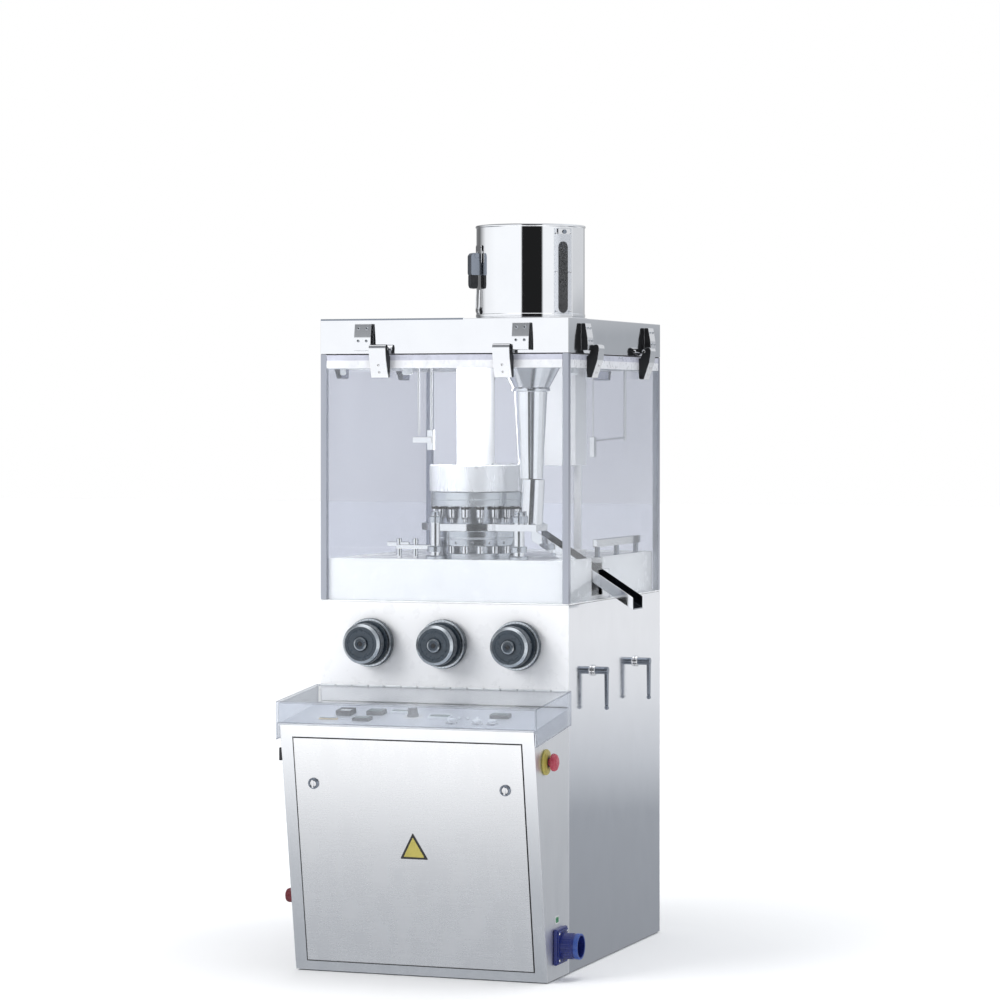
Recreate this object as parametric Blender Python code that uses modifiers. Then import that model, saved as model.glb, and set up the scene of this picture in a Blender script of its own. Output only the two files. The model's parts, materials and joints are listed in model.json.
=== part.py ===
"""Rotary tablet press: floor cabinet, sloping console, windowed press chamber and hopper.

Metres, +Z up. The origin is on the floor under the turret's axis, the front faces -Y.
"""

import math

import bmesh
import bpy
from mathutils import Matrix, Vector

# Clearances and sheet
GAP = 0.0003
SHEET = 0.002
THROUGH = 0.02

# Column: the upright cabinet that carries the press
HALF_WIDTH = 0.2995
COLUMN_FRONT = -0.214
COLUMN_BACK = 0.4755
FLOOR_CLEAR = 0.003
COLUMN_TOP = 0.8237
BAND_BOTTOM = 0.5975
FLANGE_X = 0.2950
RECESS_X = 0.2970
SIDE_OPENING_Y = (-0.185, 0.445)
SIDE_OPENING_Z = (0.035, 0.790)

# Base casting: floor plate, two upright webs with windows, and a bridge
PLATE_HALF = 0.2945
PLATE_Y = (-0.350, 0.470)
PLATE_TOP = 0.020
WEB_INNER = 0.200
WEB_THICK = 0.015
WEB_HALF_DEPTH = 0.160
WEB_WINDOW_HALF = 0.110
WEB_WINDOWS = ((0.080, 0.340), (0.520, 0.700))
BRIDGE_HALF = (0.205, 0.158)
BRIDGE_Z = (0.760, 0.780)
BEARING_BORE = 0.0256

# Console: the leaning box in front of the column
CONSOLE_FOOT_Y = -0.3565
CONSOLE_NOSE_Y = -0.450
CONSOLE_NOSE_Z = 0.5602
CONSOLE_REAR_Y = -0.2112
CONSOLE_REAR_Z = 0.5927
CONSOLE_WALL = 0.003
HOLLOW_OVERSHOOT = 0.05
HOLLOW_NOSE = 0.563
PANEL_OPENING_HALF = 0.280
PANEL_OPENING_FRONT = -0.430
DOOR_HALF_WIDTH = 0.2685
DOOR_LOW = 0.0265
DOOR_HIGH = 0.5385
DOOR_DEPTH = 0.014
DOOR_SEAM = 0.001
DOOR_EDGE = 0.0015
DOOR_PROUD = 0.001
LOCK_X = 0.2265
LOCK_HEIGHT = 0.436
LOCK_BORE = 0.0093

# Worktable and chamber
TABLE_HALF_WIDTH = 0.283
TABLE_FRONT = -0.204
TABLE_BACK = 0.4655
TABLE_TOP = 0.919
DECK = 0.012
RIM_TOP = 0.8270
SKIRT = 0.003
COVER_BOTTOM = 1.389
COVER_TOP = 1.468
COVER_PROUD = 0.0005
MOUTH_RADIUS = 0.1222
POST = 0.014
RING_HALF = 0.2912
RING_Y = (-0.2057, 0.4672)
RING_HOLE_HALF = 0.270
RING_HOLE_Y = (-0.185, 0.446)
RING_LOW = 1.370

# Windows
WINDOW_LOW = 0.8275
WINDOW_PANE_TOP = 1.3557
WINDOW_RAIL_LOW = 1.356
WINDOW_RAIL_TOP = 1.3865
PANE = 0.004
RAIL = 0.008
HINGE_Z = 1.400
HINGE_OUT = 0.0125
FRONT_HALF = 0.2852
SIDE_HALF = 0.33045
SIDE_CENTRE = 0.13075
NOTCH_Y = (0.001, 0.082)
NOTCH_TOP = 0.895
TABLE_NOTCH = (0.195, 0.835)

# Press
TURRET_RADIUS = 0.105
DIE_TABLE_LOW = 0.948
DIE_TABLE_TOP = 0.984
HUB_RADIUS = 0.083
HUB_TOP = 1.0722
TURRET_BOTTOM = 0.880
PUNCH_COUNT = 17
PUNCH_PITCH_RADIUS = 0.0938
DRUM_RADIUS = 0.107
DRUM_LOW = 1.0733
DRUM_TOP = 1.135
DRUM_WALL = 0.007
DRUM_CROWN = 0.008
WAIST_RADIUS = 0.078
WAIST_LOW = 0.932
GUIDE_RADIUS = 0.104
GUIDE_LOW = 1.040
ROLLERS = {
    "upper_roller": (0.0235, -0.074, -0.092, 0.007, -0.0985, 1.0975),
    "lower_roller": (0.0450, -0.078, -0.112, 0.012, -0.1997, 0.8340),
}
PRESS_COLUMN_RADIUS = 0.044
PRESS_HEAD_Z = (1.364, 1.3855)
HEAD_FRONT = ((-0.060, -0.010), (0.060, 0.150))
HEAD_REAR = ((-0.115, 0.112), (0.184, 0.262))
HEAD_BLOCK = ((0.1065, 0.180), (0.1835, 0.2615))
HEAD_BLOCK_LOW = 1.131
PILLARS = ((-0.095, 0.236, 0.0115), (0.170, 0.236, 0.0092))
SHOE_RADIUS = 0.125
SHOE_TOP = 1.000
SHOE_BACK_Y = -0.040
SHOE_PAD = ((0.088, -0.108), (0.186, -0.028))
FEED_POSTS = ((-0.058, -0.1105), (0.139, -0.094))
FEED_POST_RADIUS = 0.013
BOOT_RADIUS = 0.028
BOOT_WALL = 0.002
BOOT_Z = (0.996, 1.1025)

# Hopper
HOPPER_X = 0.154
HOPPER_Y = -0.055
BARREL_RADIUS = 0.124
BARREL_WALL = 0.0015
BARREL_LOW = 1.4706
HOPPER_TOP = 1.6815
RIM_PROUD = 0.002
SIGHT_ANGLE = math.radians(56)
SIGHT_SLOT_HALF = 0.0135
SIGHT_SLOT_Z = (1.480, 1.6427)
SIGHT_GLASS_HALF = 0.024
SIGHT_GLASS_Z = (1.474, 1.672)
CLAMP_ANGLE = math.radians(-50)
CLAMP_HINGE_OUT = 0.1345
CLAMP_HINGE_Z = 1.612
CLAMP_BODY = (0.1275, 0.149, 1.5675, 1.618)
CLAMP_GRIP = (0.131, 0.1485, 1.5365, 1.5685)

# Chute: an open channel, its ends cut upright; the rim's ends are (x, z)
CHUTE_Y = 0.0415
CHUTE_RIM_START = (0.135, 0.9888)
CHUTE_RIM_END = (0.3807, 0.8324)
CHUTE_WIDTH = 0.073
CHUTE_DROP = 0.0285
CHUTE_WALL = 0.002

# Drive
PULLEY_X = -0.170
WORM_Y = 0.1335
WORM_Z = 0.450
WHEEL_RADIUS = 0.110
WORM_PULLEY_RADIUS = 0.070
MOTOR_PULLEY_RADIUS = 0.035
MOTOR_RADIUS = 0.070
MOTOR_X = (-0.105, 0.120)
MOTOR_Y = 0.330
MOTOR_Z = 0.115
BELT_STEPS = 14

# Controls
HANDWHEEL_Z = 0.7325
HANDWHEEL_MIDDLE = 0.006
HANDWHEEL_PITCH = 0.177
COVER_FRONT = -0.4545
COVER_HALF_WIDTH = 0.3075
COVER_WALL = 0.004
COVER_HINGE = Vector((0.0, -0.219, 0.632))
WHEEL_BORE = 0.0125
STEM_BORE = 0.0065
ESTOP_BORE = 0.0105
ESTOP_Y = -0.374
ESTOP_Z = 0.489
INLET_HALF = (0.0375, 0.040)
INLET_RADIUS = 0.0285
INLET_BORE = 0.0240
INLET_Y = -0.284
INLET_Z = 0.075
SWITCH_Y = -0.364
SWITCH_Z = 0.169
HANDLE_YS = {"front": -0.040, "rear": 0.281}
HANDLE_Z = 0.668
SPINDLE_RADIUS = 0.0085
SPINDLE_X = (0.2875, 0.3370)
COLLAR_RADIUS = 0.0125
COLLAR_X = (0.2998, 0.3040)
LEVER_X = (0.3275, 0.3368)
LEVER_WIDTH = 0.012
LEVER_LOW = 0.577
CAM_X = (0.2880, 0.2915)
CAM_DROP = 0.026


# Scene and materials


def clear_scene():
    for obj in list(bpy.data.objects):
        bpy.data.objects.remove(obj, do_unlink=True)


def new_collection(name):
    found = bpy.data.collections.new(name)
    bpy.context.scene.collection.children.link(found)
    return found


clear_scene()
PARTS = new_collection("tablet_press")
CUTTERS = new_collection("cutters")
CUTTERS.hide_render = True


def material(name, colour, roughness, metallic=0.0, alpha=1.0):
    made = bpy.data.materials.new(name)
    made.use_nodes = True
    shader = made.node_tree.nodes["Principled BSDF"]
    shader.inputs["Base Color"].default_value = (*colour, 1.0)
    shader.inputs["Roughness"].default_value = roughness
    shader.inputs["Metallic"].default_value = metallic
    shader.inputs["Alpha"].default_value = alpha
    return made


WHITE = ("white_enamel", (0.86, 0.87, 0.90), 0.35)
STEEL = ("stainless", (0.62, 0.63, 0.68), 0.28, 1.0)
CHROME = ("chrome", (0.80, 0.81, 0.83), 0.08, 1.0)
CLEAR = ("acrylic", (0.82, 0.86, 0.90), 0.05, 0.0, 0.3)
CAST = ("cast_iron", (0.30, 0.32, 0.34), 0.60)
BLACK = ("black_plastic", (0.02, 0.02, 0.025), 0.40)
DARK = ("dark_wheel", (0.09, 0.11, 0.13), 0.35)
NAVY = ("inlet_blue", (0.02, 0.04, 0.25), 0.40)
RED = ("red_plastic", (0.55, 0.01, 0.02), 0.30)
YELLOW = ("yellow_plastic", (0.85, 0.65, 0.02), 0.40)
MAROON = ("maroon_plastic", (0.15, 0.01, 0.02), 0.35)
GREY = ("motor_grey", (0.22, 0.26, 0.30), 0.50)
RUBBER = ("belt_rubber", (0.015, 0.015, 0.015), 0.80)
PALE = ("pale_plastic", (0.85, 0.86, 0.88), 0.35)


# Basic shapes


def add_object(name, mesh, cutter=False):
    obj = bpy.data.objects.new(name, mesh)
    (CUTTERS if cutter else PARTS).objects.link(obj)
    if cutter:
        obj.hide_render = True
        obj.display_type = "WIRE"
    return obj


def finish(obj, look):
    """Gives a sub-part its own material."""
    obj.data.materials.clear()
    obj.data.materials.append(material(f"{obj.name}_{look[0]}", *look[1:]))
    return obj


def box(name, low, high, cutter=False):
    low = Vector(low)
    high = Vector(high)
    work = bmesh.new()
    bmesh.ops.create_cube(work, size=1.0)
    bmesh.ops.scale(work, vec=high - low, verts=work.verts)
    mesh = bpy.data.meshes.new(name)
    work.to_mesh(mesh)
    work.free()
    obj = add_object(name, mesh, cutter)
    obj.location = (low + high) / 2
    return obj


def cylinder(name, radius, start, end, steps=24, cutter=False):
    """A closed cylinder whose axis runs from start to end."""
    start = Vector(start)
    end = Vector(end)
    work = bmesh.new()
    bmesh.ops.create_cone(
        work, cap_ends=True, segments=steps, radius1=radius, radius2=radius, depth=(end - start).length
    )
    mesh = bpy.data.meshes.new(name)
    work.to_mesh(mesh)
    work.free()
    mesh.shade_smooth()
    mesh.set_sharp_from_angle(angle=math.radians(35))
    obj = add_object(name, mesh, cutter)
    obj.rotation_euler = (end - start).to_track_quat("Z", "Y").to_euler()
    obj.location = (start + end) / 2
    return obj


def turned(name, profile, steps=32, ring=False, cutter=False):
    """A turned shape about Z; the profile is radius and height, down the outer side."""
    mesh = bpy.data.meshes.new(name)
    count = len(profile)
    edges = [(i, i + 1) for i in range(count - 1)]
    if ring:
        edges.append((count - 1, 0))
    mesh.from_pydata([(radius, 0.0, height) for radius, height in profile], edges, [])
    obj = add_object(name, mesh, cutter)
    screw = obj.modifiers.new("turn", "SCREW")
    screw.axis = "Z"
    screw.steps = steps
    screw.render_steps = steps
    screw.use_merge_vertices = True
    screw.merge_threshold = 0.00001
    screw.use_smooth_shade = True
    return obj


def prism(name, outline, columns, middle, length, cutter=False):
    """A flat outline extruded evenly both ways from middle.

    columns are the directions of the outline's first and second coordinate.
    """
    curve = bpy.data.curves.new(name, "CURVE")
    curve.dimensions = "2D"
    curve.fill_mode = "BOTH"
    curve.extrude = length / 2
    spline = curve.splines.new("POLY")
    spline.points.add(len(outline) - 1)
    for point, (first, second) in zip(spline.points, outline):
        point.co = (first, second, 0.0, 1.0)
    spline.use_cyclic_u = True
    across = Vector(columns[0])
    upward = Vector(columns[1])
    turn = Matrix((across, upward, across.cross(upward))).transposed().to_4x4()
    sheet = bpy.data.objects.new(name + "_outline", curve)
    bpy.context.scene.collection.objects.link(sheet)
    bpy.context.view_layer.update()
    evaluated = sheet.evaluated_get(bpy.context.evaluated_depsgraph_get())
    mesh = bpy.data.meshes.new_from_object(evaluated)
    bpy.data.objects.remove(sheet, do_unlink=True)
    work = bmesh.new()
    work.from_mesh(mesh)
    bmesh.ops.remove_doubles(work, verts=work.verts, dist=0.00001)
    bmesh.ops.recalc_face_normals(work, faces=work.faces)
    work.to_mesh(mesh)
    work.free()
    obj = add_object(name, mesh, cutter)
    obj.matrix_world = Matrix.Translation(Vector(middle)) @ turn
    return obj


def combine(obj, kind, *others):
    for other in others:
        step = obj.modifiers.new(kind.lower(), "BOOLEAN")
        step.operation = kind
        step.solver = "EXACT"
        step.object = other
    return obj


def cut(obj, *others):
    return combine(obj, "DIFFERENCE", *others)


def join(obj, *others):
    return combine(obj, "UNION", *others)


def soften(obj, width):
    """Chamfers the sharp edges of a plain body."""
    bevel = obj.modifiers.new("edge", "BEVEL")
    bevel.width = width
    bevel.segments = 1
    bevel.limit_method = "ANGLE"
    return obj


def pivot(name, location, turn=0.0):
    """An empty on a joint's axis; turn is about +Z."""
    empty = bpy.data.objects.new(name, None)
    empty.empty_display_size = 0.03
    PARTS.objects.link(empty)
    empty.location = location
    empty.rotation_euler = (0, 0, turn)
    return empty


def hang(obj, empty):
    """Parents a piece to its joint's empty and keeps it where it is."""
    obj.parent = empty
    frame = Matrix.Translation(empty.location) @ empty.rotation_euler.to_matrix().to_4x4()
    obj.matrix_parent_inverse = frame.inverted()
    return obj


# Housing


def make_base_frame():
    """Floor plate with two upright webs under the worktable, tied by a bridge."""
    plate = box("base_frame", (-PLATE_HALF, PLATE_Y[0], 0.0), (PLATE_HALF, PLATE_Y[1], PLATE_TOP))
    web_top = TABLE_TOP - DECK - GAP
    for side in (-1, 1):
        inside, outside = sorted((side * WEB_INNER, side * (WEB_INNER + WEB_THICK)))
        low = (inside, -WEB_HALF_DEPTH, PLATE_TOP / 2)
        join(plate, box("web", low, (outside, WEB_HALF_DEPTH, web_top), True))
    half_x, half_y = BRIDGE_HALF
    join(plate, box("bridge", (-half_x, -half_y, BRIDGE_Z[0]), (half_x, half_y, BRIDGE_Z[1]), True))
    below = (0, 0, BRIDGE_Z[0] - THROUGH)
    above = (0, 0, BRIDGE_Z[1] + THROUGH)
    cut(plate, cylinder("shaft_bearing_bore", BEARING_BORE, below, above, 32, True))
    for low, high in WEB_WINDOWS:
        start = (-PLATE_HALF, -WEB_WINDOW_HALF, low)
        cut(plate, box("web_window", start, (PLATE_HALF, WEB_WINDOW_HALF, high), True))
    return finish(plate, CAST)


def make_cabinet_shell():
    """Left side and rear in one folded sheet, with the door frame of the right side."""
    front = CONSOLE_REAR_Y + COVER_PROUD
    ahead = front - THROUGH
    below = FLOOR_CLEAR - THROUGH
    above = COLUMN_TOP + THROUGH
    right = HALF_WIDTH + THROUGH
    back = COLUMN_BACK - SHEET
    shell = box("cabinet_shell", (-HALF_WIDTH, front, FLOOR_CLEAR), (HALF_WIDTH, COLUMN_BACK, COLUMN_TOP))
    hollow = box("cabinet_hollow", (SHEET - HALF_WIDTH, ahead, below), (FLANGE_X, back, above), True)
    recess = box("panel_recess", (RECESS_X, ahead, below), (right, back, above), True)
    low = (FLANGE_X - THROUGH, SIDE_OPENING_Y[0], SIDE_OPENING_Z[0])
    opening = box("side_opening", low, (right, SIDE_OPENING_Y[1], SIDE_OPENING_Z[1]), True)
    return finish(cut(shell, hollow, recess, opening), STEEL)


def make_front_band():
    band = box(
        "front_band",
        (-HALF_WIDTH, COLUMN_FRONT, BAND_BOTTOM),
        (HALF_WIDTH, CONSOLE_REAR_Y, COLUMN_TOP),
    )
    for x in handwheel_places().values():
        start = (x, COLUMN_FRONT - THROUGH, HANDWHEEL_Z)
        end = (x, CONSOLE_REAR_Y + THROUGH, HANDWHEEL_Z)
        cut(band, cylinder("wheel_bore", WHEEL_BORE, start, end, 24, True))
    return finish(band, WHITE)


def console_lean():
    """The unit direction up the console's leaning front."""
    return Vector((0, CONSOLE_NOSE_Y - CONSOLE_FOOT_Y, CONSOLE_NOSE_Z)).normalized()


def console_point(up, out=0.0):
    """A point on the console's front: up along it, and out from its face."""
    lean = console_lean()
    face = Vector((0, -lean.z, lean.y))
    return Vector((0, CONSOLE_FOOT_Y, 0)) + lean * up + face * out


def front_slab(name, half_width, low, high, inner, outer, cutter=False):
    """A slab parallel to the leaning front, between two depths out from its face."""
    corners = [(low, inner), (high, inner), (high, outer), (low, outer)]
    outline = [tuple(console_point(up, out))[1:] for up, out in corners]
    return prism(name, outline, ((0, 1, 0), (0, 0, 1)), (0, 0, 0), 2 * half_width, cutter)


def make_console_shell():
    wall = CONSOLE_WALL
    lean = console_lean()
    foot = Vector((0, CONSOLE_FOOT_Y, 0)) + lean * (FLOOR_CLEAR / lean.z)
    outline = [
        (foot.y, FLOOR_CLEAR),
        (CONSOLE_REAR_Y, FLOOR_CLEAR),
        (CONSOLE_REAR_Y, CONSOLE_REAR_Z),
        (CONSOLE_NOSE_Y, CONSOLE_NOSE_Z),
    ]
    sides = ((0, 1, 0), (0, 0, 1))
    shell = prism("console_shell", outline, sides, (0, 0, 0), 2 * HALF_WIDTH)
    below = console_point(-HOLLOW_OVERSHOOT, -wall)
    nose = console_point(HOLLOW_NOSE, -wall)
    behind = CONSOLE_REAR_Y + HOLLOW_OVERSHOOT
    hollow_outline = [
        (below.y, below.z),
        (behind, below.z),
        (behind, CONSOLE_REAR_Z + 0.004),
        (nose.y, nose.z),
    ]
    hollow = prism("console_hollow", hollow_outline, sides, (0, 0, 0), 2 * (HALF_WIDTH - SHEET), True)
    half = DOOR_HALF_WIDTH + DOOR_SEAM
    low = DOOR_LOW - DOOR_SEAM
    doorway = front_slab("doorway", half, low, DOOR_HIGH + DOOR_SEAM, -THROUGH, THROUGH, True)
    top_opening = box(
        "top_opening",
        (-PANEL_OPENING_HALF, PANEL_OPENING_FRONT, CONSOLE_NOSE_Z - THROUGH),
        (PANEL_OPENING_HALF, CONSOLE_REAR_Y + THROUGH, CONSOLE_REAR_Z + THROUGH),
        True,
    )
    start = (HALF_WIDTH - THROUGH, ESTOP_Y, ESTOP_Z)
    end = (HALF_WIDTH + THROUGH, ESTOP_Y, ESTOP_Z)
    stem_bore = cylinder("estop_bore", ESTOP_BORE, start, end, 24, True)
    return finish(cut(shell, hollow, doorway, top_opening, stem_bore), STEEL)


def panel_frame(x, y):
    """Placement on the control panel's face: local Z is its outward normal."""
    slope = math.atan2(CONSOLE_REAR_Z - CONSOLE_NOSE_Z, CONSOLE_REAR_Y - CONSOLE_NOSE_Y)
    height = CONSOLE_NOSE_Z + (y - CONSOLE_NOSE_Y) * math.tan(slope)
    thick = (GAP + SHEET) / math.cos(slope)
    return Matrix.Translation((x, y, height + thick)) @ Matrix.Rotation(slope, 4, "X")


CONTROL_PLACES = {
    "ammeter": (-0.185, -0.340),
    "speed_knob": (-0.022, -0.345),
    "inch_button": (0.090, -0.400),
    "stop_button": (0.150, -0.400),
    "start_button": (0.186, -0.400),
}
BUTTONS = ("inch_button", "stop_button", "start_button")


def make_control_panel():
    slope = math.atan2(CONSOLE_REAR_Z - CONSOLE_NOSE_Z, CONSOLE_REAR_Y - CONSOLE_NOSE_Y)
    length = (COLUMN_FRONT - 0.0006 - CONSOLE_NOSE_Y) / math.cos(slope)
    work = box("control_panel", (-HALF_WIDTH, 0, -SHEET), (HALF_WIDTH, length - 0.001, 0))
    work.matrix_world = panel_frame(0, CONSOLE_NOSE_Y) @ Matrix.Translation(work.location)
    for name in (*BUTTONS, "speed_knob"):
        bore = cylinder(name + "_bore", STEM_BORE, (0, 0, -THROUGH), (0, 0, THROUGH), 16, True)
        bore.matrix_world = panel_frame(*CONTROL_PLACES[name])
        cut(work, bore)
    return finish(work, STEEL)


def make_worktable():
    """Folded table on a rim that rests on the column, open below."""
    low = (-TABLE_HALF_WIDTH, TABLE_FRONT, RIM_TOP - SKIRT)
    table = box("worktable", low, (TABLE_HALF_WIDTH, TABLE_BACK, TABLE_TOP))
    rim_low = COLUMN_TOP + GAP
    rim = box(
        "table_rim", (-HALF_WIDTH, COLUMN_FRONT, rim_low), (HALF_WIDTH, COLUMN_BACK, RIM_TOP), True
    )
    join(table, rim)
    inner = TABLE_HALF_WIDTH - SKIRT
    hollow = box(
        "table_hollow",
        (-inner, TABLE_FRONT + SKIRT, rim_low - THROUGH),
        (inner, TABLE_BACK - SKIRT, TABLE_TOP - DECK),
        True,
    )
    below = (0, 0, TABLE_TOP - THROUGH)
    above = (0, 0, TABLE_TOP + THROUGH)
    turret_hole = cylinder("turret_hole", TURRET_RADIUS + 0.005, below, above, 48, True)
    low = (TABLE_NOTCH[0], NOTCH_Y[0], TABLE_NOTCH[1])
    chute_notch = box("chute_notch", low, (HALF_WIDTH, NOTCH_Y[1], TABLE_TOP + THROUGH), True)
    return finish(cut(table, hollow, turret_hole, chute_notch), WHITE)


def make_top_cover():
    half = HALF_WIDTH + COVER_PROUD
    low = (-half, COLUMN_FRONT - COVER_PROUD, COVER_BOTTOM)
    cover = box("top_cover", low, (half, COLUMN_BACK + COVER_PROUD, COVER_TOP))
    hollow = box(
        "cover_hollow",
        (SHEET - half, COLUMN_FRONT + SHEET, COVER_BOTTOM - THROUGH),
        (half - SHEET, COLUMN_BACK - SHEET, COVER_TOP - SHEET),
        True,
    )
    below = (HOPPER_X, HOPPER_Y, COVER_TOP - THROUGH)
    above = (HOPPER_X, HOPPER_Y, COVER_TOP + THROUGH)
    mouth = cylinder("hopper_mouth", MOUTH_RADIUS, below, above, 48, True)
    return finish(cut(cover, hollow, mouth), WHITE)


def make_guard_frame():
    """Four corner posts under a ring that carries the top cover."""
    top = COVER_BOTTOM - GAP
    ring = box("guard_frame", (-RING_HALF, RING_Y[0], RING_LOW), (RING_HALF, RING_Y[1], top))
    low = (-RING_HOLE_HALF, RING_HOLE_Y[0], RING_LOW - THROUGH)
    cut(ring, box("ring_hole", low, (RING_HOLE_HALF, RING_HOLE_Y[1], top + THROUGH), True))
    for x in (-HALF_WIDTH, HALF_WIDTH - POST):
        for y in (COLUMN_FRONT, COLUMN_BACK - POST):
            foot = (x, y, RIM_TOP + GAP)
            join(ring, box("post", foot, (x + POST, y + POST, top - 0.0005), True))
    return finish(ring, STEEL)


# Windows: built in each side's own frame, where -Y is outward, then turned about the origin

SIDES = {
    "front": (0.0, -COLUMN_FRONT, 0.0, FRONT_HALF, 0.1285, 0.1700),
    "right": (math.pi / 2, HALF_WIDTH, SIDE_CENTRE, SIDE_HALF, 0.1755, 0.2170),
    "rear": (math.pi, COLUMN_BACK, 0.0, FRONT_HALF, 0.1285, 0.1700),
    "left": (-math.pi / 2, HALF_WIDTH, -SIDE_CENTRE, SIDE_HALF, 0.1755, 0.2170),
}
LEAF_WIDTH = 0.041
LOWER_LEAF = (
    (0.0004, 1.334),
    (0.012, 1.334),
    (0.028, 1.378),
    (0.030, HINGE_Z),
    (0.022, 1.410),
    (0.0105, 1.402),
    (0.004, 1.3845),
    (-0.002, 1.384),
    (-0.002, 1.359),
    (0.0004, 1.358),
)
UPPER_LEAF = (
    (0.0009, 1.457),
    (0.0106, 1.457),
    (0.0160, 1.4255),
    (0.0172, 1.408),
    (0.0172, 1.3955),
    (0.0009, 1.3955),
)


def turn_about_origin(obj, turn):
    """Turns a piece about the world's Z axis."""
    bpy.context.view_layer.update()
    obj.matrix_world = Matrix.Rotation(turn, 4, "Z") @ obj.matrix_world
    return obj


def leaf(name, outline, reach, x, cutter=False):
    """A hinge leaf whose outline is the distance out from the window and the height."""
    middle = (x, -reach, 0)
    return prism(name, outline, ((0, -1, 0), (0, 0, 1)), middle, LEAF_WIDTH, cutter)


def make_window(side):
    """Pane and hinged rail of one side, with the two fixed upper leaves."""
    turn, reach, centre, half, lower, upper = SIDES[side]
    low = (centre - half, -reach, WINDOW_LOW)
    pane = box(side + "_window_pane", low, (centre + half, PANE - reach, WINDOW_PANE_TOP))
    if side == "right":
        start = (NOTCH_Y[0], -reach - THROUGH, WINDOW_LOW - THROUGH)
        notch = box("pane_notch", start, (NOTCH_Y[1], THROUGH - reach, NOTCH_TOP), True)
        cut(pane, turn_about_origin(notch, turn))
    rail_low = (centre - half, -reach - COVER_PROUD, WINDOW_RAIL_LOW)
    rail = box(side + "_window_rail", rail_low, (centre + half, RAIL - reach, WINDOW_RAIL_TOP))
    for way in (-1, 1):
        x = centre + way * (lower + LEAF_WIDTH / 2)
        join(rail, turn_about_origin(leaf("lower_leaf", LOWER_LEAF, reach, x, True), turn))
    joint = Matrix.Rotation(turn, 4, "Z") @ Vector((centre, -reach - HINGE_OUT, HINGE_Z))
    axis = pivot(side + "_window_axis", joint, turn)
    for piece, look in ((pane, CLEAR), (rail, WHITE)):
        turn_about_origin(piece, turn)
        hang(finish(piece, look), axis)
    for number, way in ((1, -1), (2, 1)):
        x = centre + way * (upper + LEAF_WIDTH / 2)
        hinge = leaf(f"{side}_hinge_{number}", UPPER_LEAF, reach, x)
        finish(turn_about_origin(hinge, turn), CHROME)


# Press


def make_press_frame():
    """Central column under a head plate, a block at its rear corner and two rear pillars."""
    head_low, head_top = PRESS_HEAD_Z
    start = (0, 0, DRUM_TOP + GAP)
    column = cylinder("press_frame", PRESS_COLUMN_RADIUS, start, (0, 0, head_top - 0.001), 36)
    for name, (low, high), bottom, top in (
        ("head_front", HEAD_FRONT, head_low, head_top),
        ("head_rear", HEAD_REAR, head_low, head_top),
        ("head_block", HEAD_BLOCK, HEAD_BLOCK_LOW, head_top - 0.001),
    ):
        join(column, box(name, (*low, bottom), (*high, top), True))
    for x, y, radius in PILLARS:
        foot = (x, y, TABLE_TOP + GAP)
        join(column, cylinder("pillar", radius, foot, (x, y, head_low + 0.005), 20, True))
    return finish(column, WHITE)


def make_upper_cam_drum():
    """Fixed drum over the turret, open below, that holds the upper punch cams."""
    profile = [
        (0.0, DRUM_TOP),
        (DRUM_RADIUS, DRUM_TOP),
        (DRUM_RADIUS, DRUM_LOW),
        (DRUM_RADIUS - DRUM_WALL, DRUM_LOW),
        (DRUM_RADIUS - DRUM_WALL, DRUM_TOP - DRUM_CROWN),
        (0.0, DRUM_TOP - DRUM_CROWN),
    ]
    return finish(turned("upper_cam_drum", profile, 36), STEEL)


def make_turret(axis):
    profile = [
        (0.0, HUB_TOP),
        (HUB_RADIUS, HUB_TOP),
        (HUB_RADIUS, DIE_TABLE_TOP),
        (TURRET_RADIUS, DIE_TABLE_TOP),
        (TURRET_RADIUS, DIE_TABLE_LOW),
        (WAIST_RADIUS, DIE_TABLE_LOW),
        (WAIST_RADIUS, WAIST_LOW),
        (TURRET_RADIUS, WAIST_LOW),
        (TURRET_RADIUS, TURRET_BOTTOM),
        (0.0, TURRET_BOTTOM),
    ]
    hang(finish(turned("turret", profile, 32), STEEL), axis)


def make_upper_punches(axis):
    """Guide ring with the upper punches standing in it."""
    ring = [
        (GUIDE_RADIUS, HUB_TOP),
        (GUIDE_RADIUS, GUIDE_LOW),
        (HUB_RADIUS + 0.0005, GUIDE_LOW),
        (HUB_RADIUS + 0.0005, HUB_TOP),
    ]
    guide = turned("upper_punches", ring, 34, ring=True)
    for number in range(PUNCH_COUNT):
        angle = 2 * math.pi * number / PUNCH_COUNT
        spot = Matrix.Rotation(angle, 3, "Z") @ Vector((PUNCH_PITCH_RADIUS, 0, 0))
        punch = [
            (0.0, 1.050),
            (0.009, 1.050),
            (0.009, 1.014),
            (0.0055, 1.010),
            (0.0055, 1.002),
            (0.0, 1.002),
        ]
        shape = turned("punch", punch, 8, cutter=True)
        shape.location = spot
        join(guide, shape)
    hang(finish(guide, STEEL), axis)


def make_main_shaft(axis):
    """Upright shaft with the worm wheel on it."""
    profile = [
        (0.0, TURRET_BOTTOM - GAP),
        (0.025, TURRET_BOTTOM - GAP),
        (0.025, WORM_Z + 0.030),
        (0.045, WORM_Z + 0.030),
        (0.045, WORM_Z + 0.013),
        (WHEEL_RADIUS, WORM_Z + 0.013),
        (WHEEL_RADIUS, WORM_Z - 0.013),
        (0.045, WORM_Z - 0.013),
        (0.045, WORM_Z - 0.030),
        (0.025, WORM_Z - 0.030),
        (0.025, 0.0203),
        (0.0, 0.0203),
    ]
    hang(finish(turned("main_shaft", profile, 20), STEEL), axis)


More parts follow.
